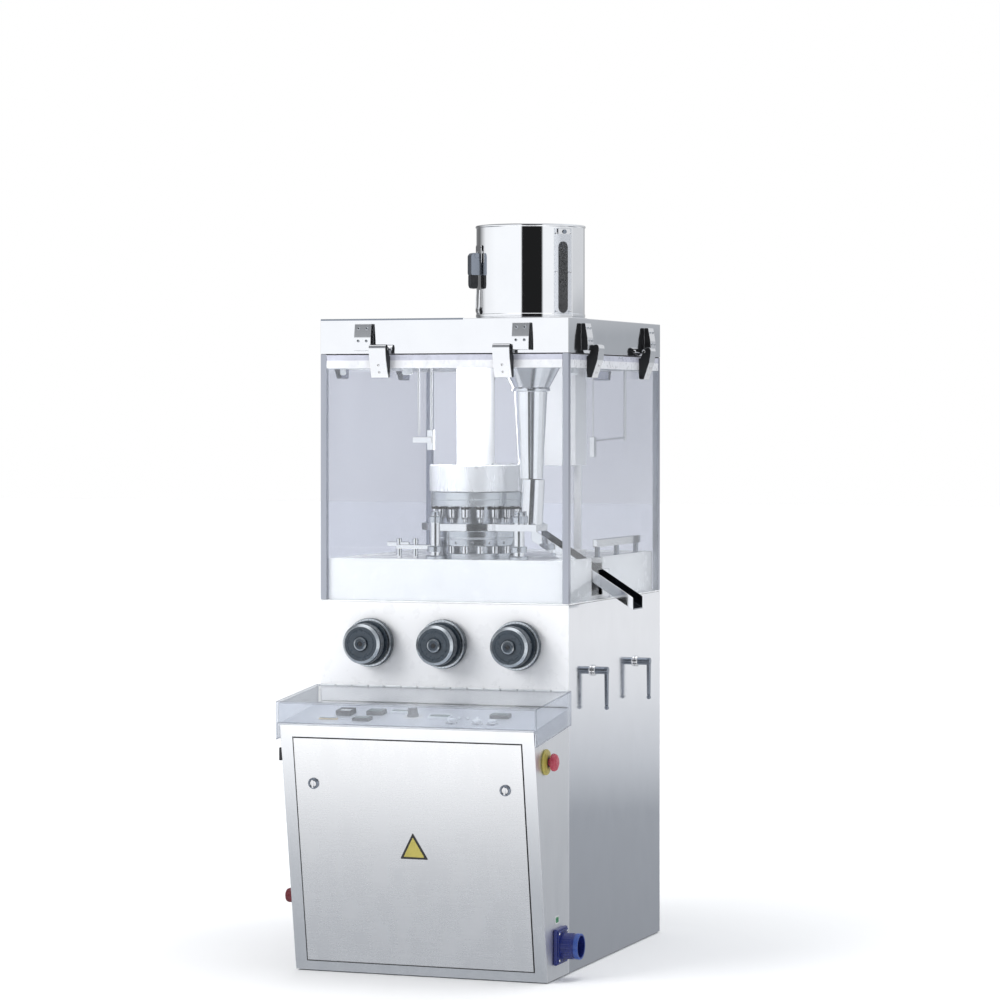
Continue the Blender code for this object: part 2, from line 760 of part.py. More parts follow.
def make_roller(name, radius, x_inner, x_outer, shaft_radius, shaft_end, height):
    """A pressure roller on its radial axle; both share the joint's axis."""
    middle = Vector(((x_inner + x_outer) / 2, 0, height))
    roller = cylinder(name, radius, (x_inner, 0, height), (x_outer, 0, height), 20)
    start = (shaft_end, 0, height)
    axle = cylinder(name + "_axle", shaft_radius, start, (x_inner - 0.004, 0, height), 16, True)
    join(roller, axle)
    hang(finish(roller, STEEL), pivot(name + "_axis", middle))


def make_feed_frame():
    """Feed shoe over the die table, with its two posts and the boot under the funnel."""
    low = DIE_TABLE_TOP + 2 * GAP
    shoe = cylinder("feed_frame", SHOE_RADIUS, (0, 0, low), (0, 0, SHOE_TOP), 36)
    above = SHOE_TOP + THROUGH
    below = (0, 0, low - THROUGH)
    cut(shoe, cylinder("shoe_bore", HUB_RADIUS + 0.0028, below, (0, 0, above), 36, True))
    reach = SHOE_RADIUS + THROUGH
    cut(shoe, box("shoe_back", (-reach, SHOE_BACK_Y, low - THROUGH), (reach, reach, above), True))
    pad_low, pad_high = SHOE_PAD
    join(shoe, box("shoe_pad", (*pad_low, low + 0.0002), (*pad_high, SHOE_TOP - 0.0002), True))
    for x, y in FEED_POSTS:
        foot = (x, y, TABLE_TOP + GAP)
        join(shoe, cylinder("feed_post", FEED_POST_RADIUS, foot, (x, y, SHOE_TOP + 0.020), 20, True))
    top = Vector((HOPPER_X + 0.005, HOPPER_Y, BOOT_Z[1]))
    bottom = Vector((HOPPER_X - 0.0005, HOPPER_Y, BOOT_Z[0]))
    overshoot = (top - bottom).normalized() * THROUGH
    join(shoe, cylinder("boot", BOOT_RADIUS, bottom, top, 24, True))
    bore = BOOT_RADIUS - BOOT_WALL
    cut(shoe, cylinder("boot_bore", bore, bottom + overshoot * 0.5, top + overshoot, 24, True))
    return finish(shoe, CHROME)


def make_discharge_chute():
    """Sloping channel from the die table to outside the right window."""
    start_x, start_z = CHUTE_RIM_START
    end_x, end_z = CHUTE_RIM_END
    fall = (end_z - start_z) / (end_x - start_x)
    sides = ((1, 0, 0), (0, 0, 1))
    middle = (0, CHUTE_Y, 0)
    outline = [
        (start_x, start_z - CHUTE_DROP),
        (end_x, end_z - CHUTE_DROP),
        (end_x, end_z),
        (start_x, start_z),
    ]
    chute = prism("discharge_chute", outline, sides, middle, CHUTE_WIDTH)
    floor = CHUTE_DROP - CHUTE_WALL * math.sqrt(1 + fall * fall)
    before = start_z - fall * THROUGH
    after = end_z + fall * THROUGH
    inner = [
        (start_x - THROUGH, before - floor),
        (end_x + THROUGH, after - floor),
        (end_x + THROUGH, after + THROUGH),
        (start_x - THROUGH, before + THROUGH),
    ]
    inside = prism("chute_inside", inner, sides, middle, CHUTE_WIDTH - 2 * CHUTE_WALL, True)
    return finish(cut(chute, inside), STEEL)


# Hopper


def around_hopper(angle, distance, height):
    """A point by its bearing from the hopper's front (-Y), positive towards +X."""
    return Vector(
        (HOPPER_X + math.sin(angle) * distance, HOPPER_Y - math.cos(angle) * distance, height)
    )


def radial_box(name, angle, half_width, inner, outer, low, high, cutter=True):
    """A box with one axis along a radius of the hopper."""
    block = box(name, (-half_width, -outer, low), (half_width, -inner, high), cutter)
    block.matrix_world = (
        Matrix.Translation((HOPPER_X, HOPPER_Y, 0))
        @ Matrix.Rotation(angle, 4, "Z")
        @ Matrix.Translation(block.location)
    )
    return block


def make_hopper_barrel():
    inner = BARREL_RADIUS - BARREL_WALL
    profile = [
        (inner, HOPPER_TOP),
        (BARREL_RADIUS + RIM_PROUD, HOPPER_TOP),
        (BARREL_RADIUS + RIM_PROUD, HOPPER_TOP - 0.006),
        (BARREL_RADIUS, HOPPER_TOP - 0.007),
        (BARREL_RADIUS, BARREL_LOW),
        (inner, BARREL_LOW),
    ]
    barrel = turned("hopper_barrel", profile, 40, ring=True)
    barrel.location = (HOPPER_X, HOPPER_Y, 0)
    inside = BARREL_RADIUS - THROUGH
    outside = BARREL_RADIUS + THROUGH
    slot = radial_box("sight_slot", SIGHT_ANGLE, SIGHT_SLOT_HALF, inside, outside, *SIGHT_SLOT_Z)
    return finish(cut(barrel, slot), CHROME)


def make_sight_glass():
    """Curved clear plate over the slot in the barrel."""
    low, high = SIGHT_GLASS_Z
    inner = BARREL_RADIUS + 0.0005
    outer = BARREL_RADIUS + 0.0030
    profile = [(outer, high), (outer, low), (inner, low), (inner, high)]
    glass = turned("hopper_sight_glass", profile, 96, ring=True)
    glass.location = (HOPPER_X, HOPPER_Y, 0)
    keep = radial_box(
        "glass_width",
        SIGHT_ANGLE,
        SIGHT_GLASS_HALF,
        BARREL_RADIUS - THROUGH,
        BARREL_RADIUS + THROUGH,
        low - THROUGH,
        high + THROUGH,
    )
    return finish(combine(glass, "INTERSECT", keep), CLEAR)


def make_hopper_funnel():
    wall = 0.002
    outer = [
        (BARREL_RADIUS + 0.006, BARREL_LOW - GAP),
        (BARREL_RADIUS + 0.006, COVER_TOP + GAP),
        (MOUTH_RADIUS - 0.0014, COVER_TOP + GAP),
        (0.0695, 1.360),
        (0.044, 1.312),
        (0.039, 1.308),
        (0.028, 1.104),
    ]
    inner = [
        (0.028 - wall, 1.104),
        (0.039 - wall, 1.309),
        (0.0425, 1.313),
        (0.0675, 1.361),
        (BARREL_RADIUS - 0.0055, BARREL_LOW - GAP),
    ]
    funnel = turned("hopper_funnel", outer + inner, 28, ring=True)
    funnel.location = (HOPPER_X, HOPPER_Y, 0)
    return finish(funnel, STEEL)


def clamp_tangent():
    return Vector((math.cos(CLAMP_ANGLE), math.sin(CLAMP_ANGLE), 0))


def make_hopper_clamp():
    """Toggle lever that holds the barrel, hinged near its top on a tangent axis."""
    lever = radial_box("hopper_clamp", CLAMP_ANGLE, 0.012, *CLAMP_BODY, False)
    grip = radial_box("clamp_grip", CLAMP_ANGLE, 0.010, *CLAMP_GRIP)
    hinge = around_hopper(CLAMP_ANGLE, CLAMP_HINGE_OUT, CLAMP_HINGE_Z)
    half = clamp_tangent() * 0.0135
    knuckle = cylinder("clamp_knuckle", 0.006, hinge - half, hinge + half, 16, True)
    join(lever, grip, knuckle)
    hang(finish(lever, CHROME), pivot("hopper_clamp_axis", hinge))


# Drive


def make_motor():
    left, right = MOTOR_X
    body = cylinder("motor", MOTOR_RADIUS, (left, MOTOR_Y, MOTOR_Z), (right, MOTOR_Y, MOTOR_Z), 32)
    under = PLATE_TOP + GAP
    foot = box("motor_foot", (-0.080, MOTOR_Y - 0.065, under), (0.090, MOTOR_Y + 0.065, 0.062), True)
    terminals = box("terminal_box", (-0.02, MOTOR_Y - 0.035, 0.17), (0.06, MOTOR_Y + 0.035, 0.215), True)
    join(body, foot, terminals)
    return finish(body, GREY)


def pulley_profile(radius):
    """Half section of a grooved pulley along its axis, without its shaft."""
    return [(radius, 0.012), (radius - 0.008, 0.007), (radius - 0.008, -0.007), (radius, -0.012)]


def make_turned_along_x(name, profile, x, y, z, steps, look):
    """A turned piece whose profile heights run along -X from its place."""
    piece = turned(name, profile, steps)
    piece.rotation_euler = (0, math.radians(-90), 0)
    piece.location = (x, y, z)
    return finish(piece, look)


def make_motor_pulley():
    shaft = 0.010
    profile = [
        (0.0, 0.013),
        (shaft, 0.013),
        (shaft, 0.012),
        *pulley_profile(MOTOR_PULLEY_RADIUS),
        (shaft, -0.012),
        (shaft, PULLEY_X + 0.1055),
        (0.0, PULLEY_X + 0.1055),
    ]
    make_turned_along_x("motor_pulley", profile, PULLEY_X, MOTOR_Y, MOTOR_Z, 16, CAST)


def make_worm_shaft():
    """Cross shaft with the belt pulley and the worm."""
    shaft = 0.012
    worm = 0.022
    end = WEB_INNER - GAP
    profile = [
        (0.0, PULLEY_X + end),
        (shaft, PULLEY_X + end),
        (shaft, 0.012),
        *pulley_profile(WORM_PULLEY_RADIUS),
        (shaft, -0.012),
        (shaft, PULLEY_X + 0.050),
        (worm, PULLEY_X + 0.050),
        (worm, PULLEY_X - 0.050),
        (shaft, PULLEY_X - 0.050),
        (shaft, PULLEY_X - end),
        (0.0, PULLEY_X - end),
    ]
    make_turned_along_x("worm_shaft", profile, PULLEY_X, WORM_Y, WORM_Z, 20, STEEL)


def belt_line(grow):
    """Outline of the belt round both pulleys: two arcs and their tangents, as (y, z)."""
    small = MOTOR_PULLEY_RADIUS - 0.008 + grow
    large = WORM_PULLEY_RADIUS - 0.008 + grow
    run = Vector((WORM_Y - MOTOR_Y, WORM_Z - MOTOR_Z))
    bearing = math.atan2(run.y, run.x)
    spread = math.acos((small - large) / run.length)
    arc = []
    for centre, radius, first, last in (
        (Vector((MOTOR_Y, MOTOR_Z)), small, bearing + spread, bearing + 2 * math.pi - spread),
        (Vector((WORM_Y, WORM_Z)), large, bearing - spread, bearing + spread),
    ):
        for step in range(BELT_STEPS + 1):
            angle = first + (last - first) * step / BELT_STEPS
            arc.append((centre.x + radius * math.cos(angle), centre.y + radius * math.sin(angle)))
    return arc


def make_drive_belt():
    sides = ((0, 1, 0), (0, 0, 1))
    belt = prism("drive_belt", belt_line(0.0065), sides, (PULLEY_X, 0, 0), 0.009)
    inside = prism("belt_inside", belt_line(0.0010), sides, (PULLEY_X, 0, 0), 0.02, True)
    return finish(cut(belt, inside), RUBBER)


# Doors and panels


def make_front_door():
    door = front_slab("front_door", DOOR_HALF_WIDTH, DOOR_LOW, DOOR_HIGH, -DOOR_DEPTH, DOOR_PROUD)
    inner = DOOR_HALF_WIDTH - DOOR_EDGE
    low = DOOR_LOW + DOOR_EDGE
    high = DOOR_HIGH - DOOR_EDGE
    cut(door, front_slab("door_tray", inner, low, high, -DOOR_DEPTH - THROUGH, -DOOR_PROUD, True))
    for side in (-1, 1):
        spot = Vector((side * LOCK_X, 0, 0))
        start = console_point(LOCK_HEIGHT, -THROUGH) + spot
        end = console_point(LOCK_HEIGHT, THROUGH) + spot
        cut(door, cylinder("lock_bore", LOCK_BORE, start, end, 20, True))
    return finish(door, STEEL)


def make_door_lock(side, x):
    """Quarter-turn lock: bezel outside, barrel through the door, cam behind it."""
    spot = Vector((x, 0, 0))
    head_start = console_point(LOCK_HEIGHT, 0.0013) + spot
    head_end = console_point(LOCK_HEIGHT, 0.0060) + spot
    lock = cylinder(f"door_lock_{side}", 0.0125, head_start, head_end, 24)
    barrel_start = console_point(LOCK_HEIGHT, -0.012) + spot
    barrel_end = console_point(LOCK_HEIGHT, 0.004) + spot
    barrel = cylinder("lock_barrel", LOCK_BORE - GAP, barrel_start, barrel_end, 20, True)
    cam = front_slab("lock_cam", 0.006, LOCK_HEIGHT - 0.007, LOCK_HEIGHT + 0.024, -0.0115, -0.0085, True)
    cam.location.x = x
    key = front_slab("lock_key_bar", 0.0022, LOCK_HEIGHT - 0.009, LOCK_HEIGHT + 0.009, 0.004, 0.0095, True)
    key.location.x = x
    join(lock, barrel, cam, key)
    return finish(lock, CHROME)


def make_side_panel():
    panel = box(
        "right_side_panel",
        (HALF_WIDTH - SHEET - 0.0002, CONSOLE_REAR_Y + 0.0005, FLOOR_CLEAR),
        (HALF_WIDTH, COLUMN_BACK - SHEET - 0.0005, COLUMN_TOP),
    )
    for y in HANDLE_YS.values():
        start = (HALF_WIDTH - THROUGH, y, HANDLE_Z)
        end = (HALF_WIDTH + THROUGH, y, HANDLE_Z)
        bore = cylinder("handle_bore", SPINDLE_RADIUS + GAP, start, end, 20, True)
        cut(panel, bore)
    return finish(panel, STEEL)


def make_side_handle(side):
    """Lever on a spindle through the panel; hangs down at rest."""
    y = HANDLE_YS[side]
    half = LEVER_WIDTH / 2
    back, tip = SPINDLE_X
    spindle = cylinder(f"side_handle_{side}", SPINDLE_RADIUS, (back, y, HANDLE_Z), (tip, y, HANDLE_Z), 20)
    near, far = COLLAR_X
    collar = cylinder("handle_collar", COLLAR_RADIUS, (near, y, HANDLE_Z), (far, y, HANDLE_Z), 24, True)
    near, far = LEVER_X
    lever = box("handle_lever", (near, y - half, LEVER_LOW), (far, y + half, HANDLE_Z), True)
    near, far = CAM_X
    cam = box("handle_cam", (near, y - half, HANDLE_Z - CAM_DROP), (far, y + half, HANDLE_Z), True)
    join(spindle, collar, lever, cam)
    hang(finish(spindle, CHROME), pivot(f"side_handle_{side}_axis", (HALF_WIDTH, y, HANDLE_Z)))


# Console controls


def make_console_cover():
    """Clear hood over the controls, hinged along its rear edge."""
    sides = ((0, 1, 0), (0, 0, 1))
    rear = COLUMN_FRONT - 0.0025
    front = COVER_FRONT
    outline = [(front, 0.527), (rear, 0.557), (rear, 0.634), (front, 0.612)]
    hood = prism("console_cover", outline, sides, (0, 0, 0), 2 * COVER_HALF_WIDTH)
    inside_front = COVER_FRONT + COVER_WALL
    inner = [(inside_front, 0.50), (-0.15, 0.50), (-0.15, 0.6363), (inside_front, 0.6083)]
    inside = prism("cover_inside", inner, sides, (0, 0, 0), 2 * (COVER_HALF_WIDTH - COVER_WALL), True)
    front_low = box(
        "cover_front_low",
        (COVER_WALL - COVER_HALF_WIDTH, -0.50, 0.50),
        (COVER_HALF_WIDTH - COVER_WALL, -0.44, 0.5640),
        True,
    )
    cut(hood, inside, front_low)
    hang(finish(hood, CLEAR), pivot("console_cover_axis", COVER_HINGE))


def on_panel(obj, place):
    """Stands a piece, built about the local origin, on the control panel."""
    obj.matrix_world = panel_frame(*place) @ Matrix.Translation(obj.location)
    return obj


def make_ammeter():
    meter = box("ammeter", (-0.018, -0.018, GAP), (0.018, 0.018, 0.012))
    soften(meter, 0.0015)
    return finish(on_panel(meter, CONTROL_PLACES["ammeter"]), BLACK)


def make_speed_knob():
    profile = [
        (0.0, 0.022),
        (0.0105, 0.022),
        (0.0120, 0.020),
        (0.0130, 0.004),
        (0.0130, 0.0006),
        (0.0060, 0.0006),
        (0.0060, -0.006),
        (0.0, -0.006),
    ]
    knob = on_panel(turned("speed_knob", profile, 24), CONTROL_PLACES["speed_knob"])
    return finish(knob, BLACK)


def make_button(name):
    profile = [
        (0.0, 0.012),
        (0.0090, 0.012),
        (0.0105, 0.0105),
        (0.0105, 0.0040),
        (0.0060, 0.0040),
        (0.0060, -0.006),
        (0.0, -0.006),
    ]
    return finish(on_panel(turned(name, profile, 20), CONTROL_PLACES[name]), PALE)


def make_estop():
    ring = [(0.0285, 0.004), (0.0285, 0.0003), (0.0086, 0.0003), (0.0086, 0.008), (0.0150, 0.008)]
    base = turned("estop_base", [(0.0270, 0.006), *ring], 24, ring=True)
    mushroom = [
        (0.0, 0.0300),
        (0.0120, 0.0290),
        (0.0195, 0.0240),
        (0.0195, 0.0170),
        (0.0110, 0.0130),
        (0.0080, 0.0130),
        (0.0080, 0.0006),
        (0.0, 0.0006),
    ]
    button = turned("estop_button", mushroom, 20)
    for piece, look in ((base, YELLOW), (button, RED)):
        piece.rotation_euler = (0, math.radians(90), 0)
        piece.location = (HALF_WIDTH, ESTOP_Y, ESTOP_Z)
        finish(piece, look)


def make_power_inlet():
    flange = box(
        "power_inlet",
        (HALF_WIDTH + GAP, INLET_Y - INLET_HALF[0], INLET_Z - INLET_HALF[1]),
        (HALF_WIDTH + 0.012, INLET_Y + INLET_HALF[0], INLET_Z + INLET_HALF[1]),
    )
    start = (HALF_WIDTH + 0.006, INLET_Y, INLET_Z)
    tip = HALF_WIDTH + 0.053
    join(flange, cylinder("inlet_barrel", INLET_RADIUS, start, (tip, INLET_Y, INLET_Z), 32, True))
    bore_start = (HALF_WIDTH + 0.016, INLET_Y, INLET_Z)
    cut(flange, cylinder("inlet_bore", INLET_BORE, bore_start, (tip + 0.01, INLET_Y, INLET_Z), 32, True))
    return finish(flange, NAVY)


def make_main_switch():
    profile = [
        (0.0, 0.0190),
        (0.0135, 0.0190),
        (0.0160, 0.0150),
        (0.0160, GAP),
        (0.0, GAP),
    ]
    knob = turned("main_switch_knob", profile, 24)
    knob.rotation_euler = (0, math.radians(-90), 0)
    knob.location = (-HALF_WIDTH, SWITCH_Y, SWITCH_Z)
    return finish(knob, MAROON)


def handwheel_places():
    offsets = {"left": -HANDWHEEL_PITCH, "middle": 0.0, "right": HANDWHEEL_PITCH}
    return {side: HANDWHEEL_MIDDLE + offset for side, offset in offsets.items()}


def make_handwheel(side, x):
    """Adjusting wheel: rear dial, grooved front disc and a shaft into the column."""
    profile = [
        (0.0, 0.0800),
        (0.0145, 0.0800),
        (0.0150, 0.0740),
        (0.0380, 0.0740),
        (0.0460, 0.0680),
        (0.0460, 0.0450),
        (0.0380, 0.0400),
        (0.0380, 0.0300),
        (0.0560, 0.0270),
        (0.0560, 0.0080),
        (0.0120, 0.0060),
        (0.0120, -0.0300),
        (0.0, -0.0300),
    ]
    wheel = turned(f"handwheel_{side}", profile, 22)
    wheel.rotation_euler = (math.radians(90), 0, 0)
    wheel.location = (x, COLUMN_FRONT, HANDWHEEL_Z)
    return finish(wheel, DARK)


def build():
    make_base_frame()
    make_cabinet_shell()
    make_front_band()
    make_console_shell()
    make_control_panel()
    make_worktable()
    make_top_cover()
    make_guard_frame()
    for side in SIDES:
        make_window(side)
    make_press_frame()
    make_upper_cam_drum()
    turret_axis = pivot("turret_axis", (0, 0, DIE_TABLE_TOP))
    make_turret(turret_axis)
    make_upper_punches(turret_axis)
    make_main_shaft(turret_axis)
    for name, sizes in ROLLERS.items():
        make_roller(name, *sizes)
    make_feed_frame()
    make_discharge_chute()
    make_hopper_barrel()
    make_sight_glass()
    make_hopper_funnel()
    make_hopper_clamp()
    make_motor()
    make_motor_pulley()
    make_worm_shaft()
    make_drive_belt()
    make_front_door()
    make_door_lock("left", -LOCK_X)
    make_door_lock("right", LOCK_X)
    make_side_panel()
    for side in HANDLE_YS:
        make_side_handle(side)
    make_console_cover()
    make_ammeter()
    make_speed_knob()
    for name in BUTTONS:
        make_button(name)
    make_estop()
    make_power_inlet()
    make_main_switch()
    for side, x in handwheel_places().items():
        make_handwheel(side, x)


build()
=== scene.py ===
"""Looks of the tablet press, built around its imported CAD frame. +Z up, front -Y.

Shapes and placements are in millimetres until a shell joins a piece. The studio is in metres.
"""

import json
import math

import bmesh
import bpy
from mathutils import Matrix, Vector

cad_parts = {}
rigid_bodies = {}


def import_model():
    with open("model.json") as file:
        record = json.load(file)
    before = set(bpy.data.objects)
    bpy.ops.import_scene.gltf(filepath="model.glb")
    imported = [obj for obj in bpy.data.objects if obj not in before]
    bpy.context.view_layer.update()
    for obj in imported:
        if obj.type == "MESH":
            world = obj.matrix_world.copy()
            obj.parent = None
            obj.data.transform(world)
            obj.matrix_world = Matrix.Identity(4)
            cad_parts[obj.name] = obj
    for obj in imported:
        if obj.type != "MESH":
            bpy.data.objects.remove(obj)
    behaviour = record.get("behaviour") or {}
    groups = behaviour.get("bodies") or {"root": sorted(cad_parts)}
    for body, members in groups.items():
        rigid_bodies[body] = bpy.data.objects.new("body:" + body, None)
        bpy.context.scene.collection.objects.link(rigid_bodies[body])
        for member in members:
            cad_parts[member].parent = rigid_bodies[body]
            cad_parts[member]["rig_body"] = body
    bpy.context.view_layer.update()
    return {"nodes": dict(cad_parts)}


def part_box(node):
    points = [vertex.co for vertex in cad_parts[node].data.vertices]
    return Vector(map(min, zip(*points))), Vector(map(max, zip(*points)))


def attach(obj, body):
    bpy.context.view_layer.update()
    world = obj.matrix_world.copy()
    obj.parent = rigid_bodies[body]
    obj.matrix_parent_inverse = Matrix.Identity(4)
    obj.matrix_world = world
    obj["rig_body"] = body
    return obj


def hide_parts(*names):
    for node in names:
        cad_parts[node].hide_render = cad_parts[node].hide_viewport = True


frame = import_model()
NODES = frame["nodes"]
SCENE = bpy.context.scene

MM = 0.001
HERE = Matrix.Identity(4)


# Materials


class Nodes:
    """Adds nodes to a shader tree; an input is a value or the socket that feeds it."""

    def __init__(self, tree):
        self.tree = tree

    def node(self, kind, inputs=None, **settings):
        made = self.tree.nodes.new("ShaderNode" + kind)
        for key, value in settings.items():
            setattr(made, key, value)
        for key, value in (inputs or {}).items():
            if isinstance(value, bpy.types.NodeSocket):
                self.tree.links.new(value, made.inputs[key])
            else:
                made.inputs[key].default_value = value
        return made

    def span(self, value, low, high, start=0.0, end=1.0):
        """Maps low..high to start..end."""
        inputs = {"Value": value, "From Min": low, "From Max": high, "To Min": start, "To Max": end}
        return self.node("MapRange", inputs).outputs[0]

    def sum(self, operation, one, two):
        return self.node("Math", {0: one, 1: two}, operation=operation).outputs[0]

    def mix(self, share, one, two):
        return self.node("Mix", {0: share, 6: one, 7: two}, data_type="RGBA").outputs[2]

    def ramp(self, factor, stops):
        """A colour ramp; stops are place and colour, and their places are mapped to 0..1."""
        first = stops[0][0]
        last = stops[-1][0]
        made = self.node("ValToRGB", {0: factor})
        elements = made.color_ramp.elements
        elements.remove(elements[-1])
        elements[0].color = (*stops[0][1], 1.0)
        for place, colour in stops[1:]:
            elements.new((place - first) / (last - first)).color = (*colour, 1.0)
        return made.outputs[0]


class Look(Nodes):
    """A material under construction: a Principled surface in object coordinates."""

    def __init__(self, name, colour, rough, metallic=0.0, **inputs):
        self.material = bpy.data.materials.new(name)
        self.material.use_nodes = True
        super().__init__(self.material.node_tree)
        self.surface = self.tree.nodes["Principled BSDF"]
        self.coords = self.node("TexCoord").outputs["Object"]
        self.colour = self.fixed("RGB", (*colour, 1.0))
        self.rough = self.fixed("Value", rough)
        self.normal = None
        self.surface.inputs["Metallic"].default_value = metallic
        for key, value in inputs.items():
            self.surface.inputs[key.replace("_", " ")].default_value = value

    def fixed(self, kind, value):
        made = self.node(kind)
        made.outputs[0].default_value = value
        return made.outputs[0]

    def noise(self, scale, stretch=(1, 1, 1), detail=3.0, rough=0.5):
        spot = self.node("Mapping", {"Vector": self.coords, "Scale": stretch}).outputs[0]
        made = self.node("TexNoise", {"Vector": spot, "Scale": scale, "Detail": detail, "Roughness": rough})
        return made.outputs["Fac"]

    def spread(self, factor, low, high):
        """Maps a noise's middle range to low..high."""
        return self.span(factor, 0.3, 0.7, low, high)

    def tint(self, factor, dark, light):
        """Multiplies the colour by a grey that follows the factor."""
        amount = self.spread(factor, dark, light)
        made = self.node("VectorMath", {0: self.colour, "Scale": amount}, operation="SCALE")
        self.colour = made.outputs[0]
        return self

    def lay(self, mask, colour):
        self.colour = self.mix(mask, self.colour, self.fixed("RGB", (*colour, 1.0)))
        return self

    def blotch(self, factor, colour, low, high, most):
        """Lays a second colour where the factor is high."""
        return self.lay(self.span(factor, low, high, 0.0, most), colour)

    def vary_rough(self, factor, low, high):
        self.rough = self.sum("ADD", self.rough, self.spread(factor, low, high))
        return self

    def bump(self, factor, distance, strength):
        inputs = {"Height": factor, "Distance": distance, "Strength": strength}
        if self.normal is not None:
            inputs["Normal"] = self.normal
        self.normal = self.node("Bump", inputs).outputs[0]
        return self

    def painted_edge_highlight(self, radius, colour, most):
        """Painted highlight: brightens the sharp edges, broken up by noise."""
        soft = self.node("Bevel", {"Radius": radius}, samples=4).outputs[0]
        flat = self.node("NewGeometry").outputs["Normal"]
        same = self.node("VectorMath", {0: soft, 1: flat}, operation="DOT_PRODUCT").outputs["Value"]
        broken = self.spread(self.noise(160.0, detail=4.0), 0.0, 1.0)
        return self.lay(self.sum("MULTIPLY", self.span(same, 0.98, 0.80, 0.0, most), broken), colour)

    def done(self):
        for socket, key in ((self.colour, "Base Color"), (self.rough, "Roughness"), (self.normal, "Normal")):
            if socket is not None:
                self.tree.links.new(socket, self.surface.inputs[key])
        return self.material


def brushed(name, colour, rough, along="x", depth=0.000008, grain=1.0, metallic=1.0):
    """Brushed sheet: fine lines along one axis, faint smears and slow unevenness of the sheet."""
    stretch = {"x": (0.015, 1, 1), "y": (1, 0.015, 1), "z": (1, 1, 0.015)}[along]
    look = Look(name, colour, rough, metallic)
    lines = look.noise(900.0, stretch, 2.0)
    cloud = look.noise(4.0, detail=4.0)
    smear = look.noise(26.0, (1, 1, 0.4), 4.0)
    look.tint(lines, 1.0 - 0.025 * grain, 1.0 + 0.02 * grain).tint(cloud, 0.985, 1.01)
    look.vary_rough(smear, -0.02, 0.03).vary_rough(lines, -0.03 * grain, 0.03 * grain)
    look.bump(lines, depth, 0.3)
    look.bump(look.noise(3.0, detail=1.0), 0.0006, 0.2)
    return look.done()


def polished(name, colour, rough, wave=0.0006):
    """Mirror-polished sheet or bar with slight waviness, haze and hairline scratches."""
    look = Look(name, colour, rough, 1.0)
    haze = look.noise(14.0, detail=5.0, rough=0.6)
    scratch = look.noise(600.0, (1, 0.05, 0.05), 2.0)
    look.tint(haze, 0.975, 1.01).vary_rough(haze, -0.015, 0.035).vary_rough(scratch, -0.01, 0.02)
    look.bump(look.noise(4.0, detail=1.0), wave, 0.3)
    look.bump(scratch, 0.000004, 0.4)
    return look.done()


def enamel(name, colour, rough):
    """Sprayed enamel with orange peel, faint grime and a painted highlight on its edges."""
    look = Look(name, colour, rough, Coat_Weight=0.35, Coat_Roughness=0.12)
    look.tint(look.noise(3.0, detail=4.0), 0.975, 1.01)
    look.blotch(look.noise(40.0, detail=6.0), [c * 0.86 for c in colour], 0.60, 0.80, 0.5)
    look.vary_rough(look.noise(30.0), -0.05, 0.08)
    look.bump(look.noise(420.0, detail=1.0), 0.00004, 0.5)
    # Painted highlight on the edges.
    look.painted_edge_highlight(0.0012, [min(1.0, c * 1.1) for c in colour], 0.4)
    return look.done()


def plastic(name, colour, rough, edge=None):
    """Moulded plastic: fine spark-eroded grain, scuffs and a painted highlight on its edges, in the edge
    colour.
    """
    look = Look(name, colour, rough)
    look.tint(look.noise(35.0, detail=4.0), 0.90, 1.08)
    look.vary_rough(look.noise(90.0, detail=4.0), -0.08, 0.10)
    look.bump(look.noise(1600.0, detail=2.0), 0.00003, 0.5)
    # Painted highlight on the edges, in the edge colour.
    look.painted_edge_highlight(0.0010, edge or [min(1.0, c * 1.5 + 0.03) for c in colour], 0.6)
    return look.done()


def cast(name, colour, rough):
    """Painted or bare casting with a sandy surface."""
    look = Look(name, colour, rough, 0.25)
    look.tint(look.noise(6.0, detail=5.0), 0.85, 1.10)
    look.blotch(look.noise(55.0, detail=5.0), [c * 0.6 for c in colour], 0.55, 0.75, 0.6)
    look.vary_rough(look.noise(70.0), -0.08, 0.10)
    look.bump(look.noise(300.0, detail=4.0), 0.00025, 0.6)
    # Painted highlight on the edges.
    look.painted_edge_highlight(0.0020, (0.55, 0.55, 0.56), 0.5)
    return look.done()


def acrylic(name, pass_colour, gloss=0.02, haze=0.03):
    """Clear sheet: tinted see-through with a Fresnel gloss and a little haze."""
    look = Look(name, (1, 1, 1), gloss)
    dust = look.noise(9.0, detail=6.0, rough=0.6)
    clear = look.node("BsdfTransparent", {"Color": (*pass_colour, 1.0)}).outputs[0]
    film = look.node("BsdfDiffuse", {"Color": (0.85, 0.88, 0.92, 1.0)}).outputs[0]
    share = look.spread(dust, haze * 0.5, haze * 1.6)
    body = look.node("MixShader", {0: share, 1: clear, 2: film}).outputs[0]
    wavy = {"Height": look.noise(3.0, detail=1.0), "Distance": 0.001, "Strength": 0.3}
    wave = look.node("Bump", wavy).outputs[0]
    gloss_rough = look.spread(dust, gloss, gloss + 0.05)
    shine = look.node("BsdfGlossy", {"Roughness": gloss_rough, "Normal": wave}).outputs[0]
    inside = look.node("NewGeometry").outputs["Backfacing"]
    index = look.span(inside, 0.0, 1.0, 1.49, 1 / 1.49)
    fresnel = look.sum("MULTIPLY", look.node("Fresnel", {"IOR": index}).outputs[0], 0.8)
    whole = look.node("MixShader", {0: fresnel, 1: body, 2: shine}).outputs[0]
    look.tree.links.new(whole, look.tree.nodes["Material Output"].inputs["Surface"])
    return look.material


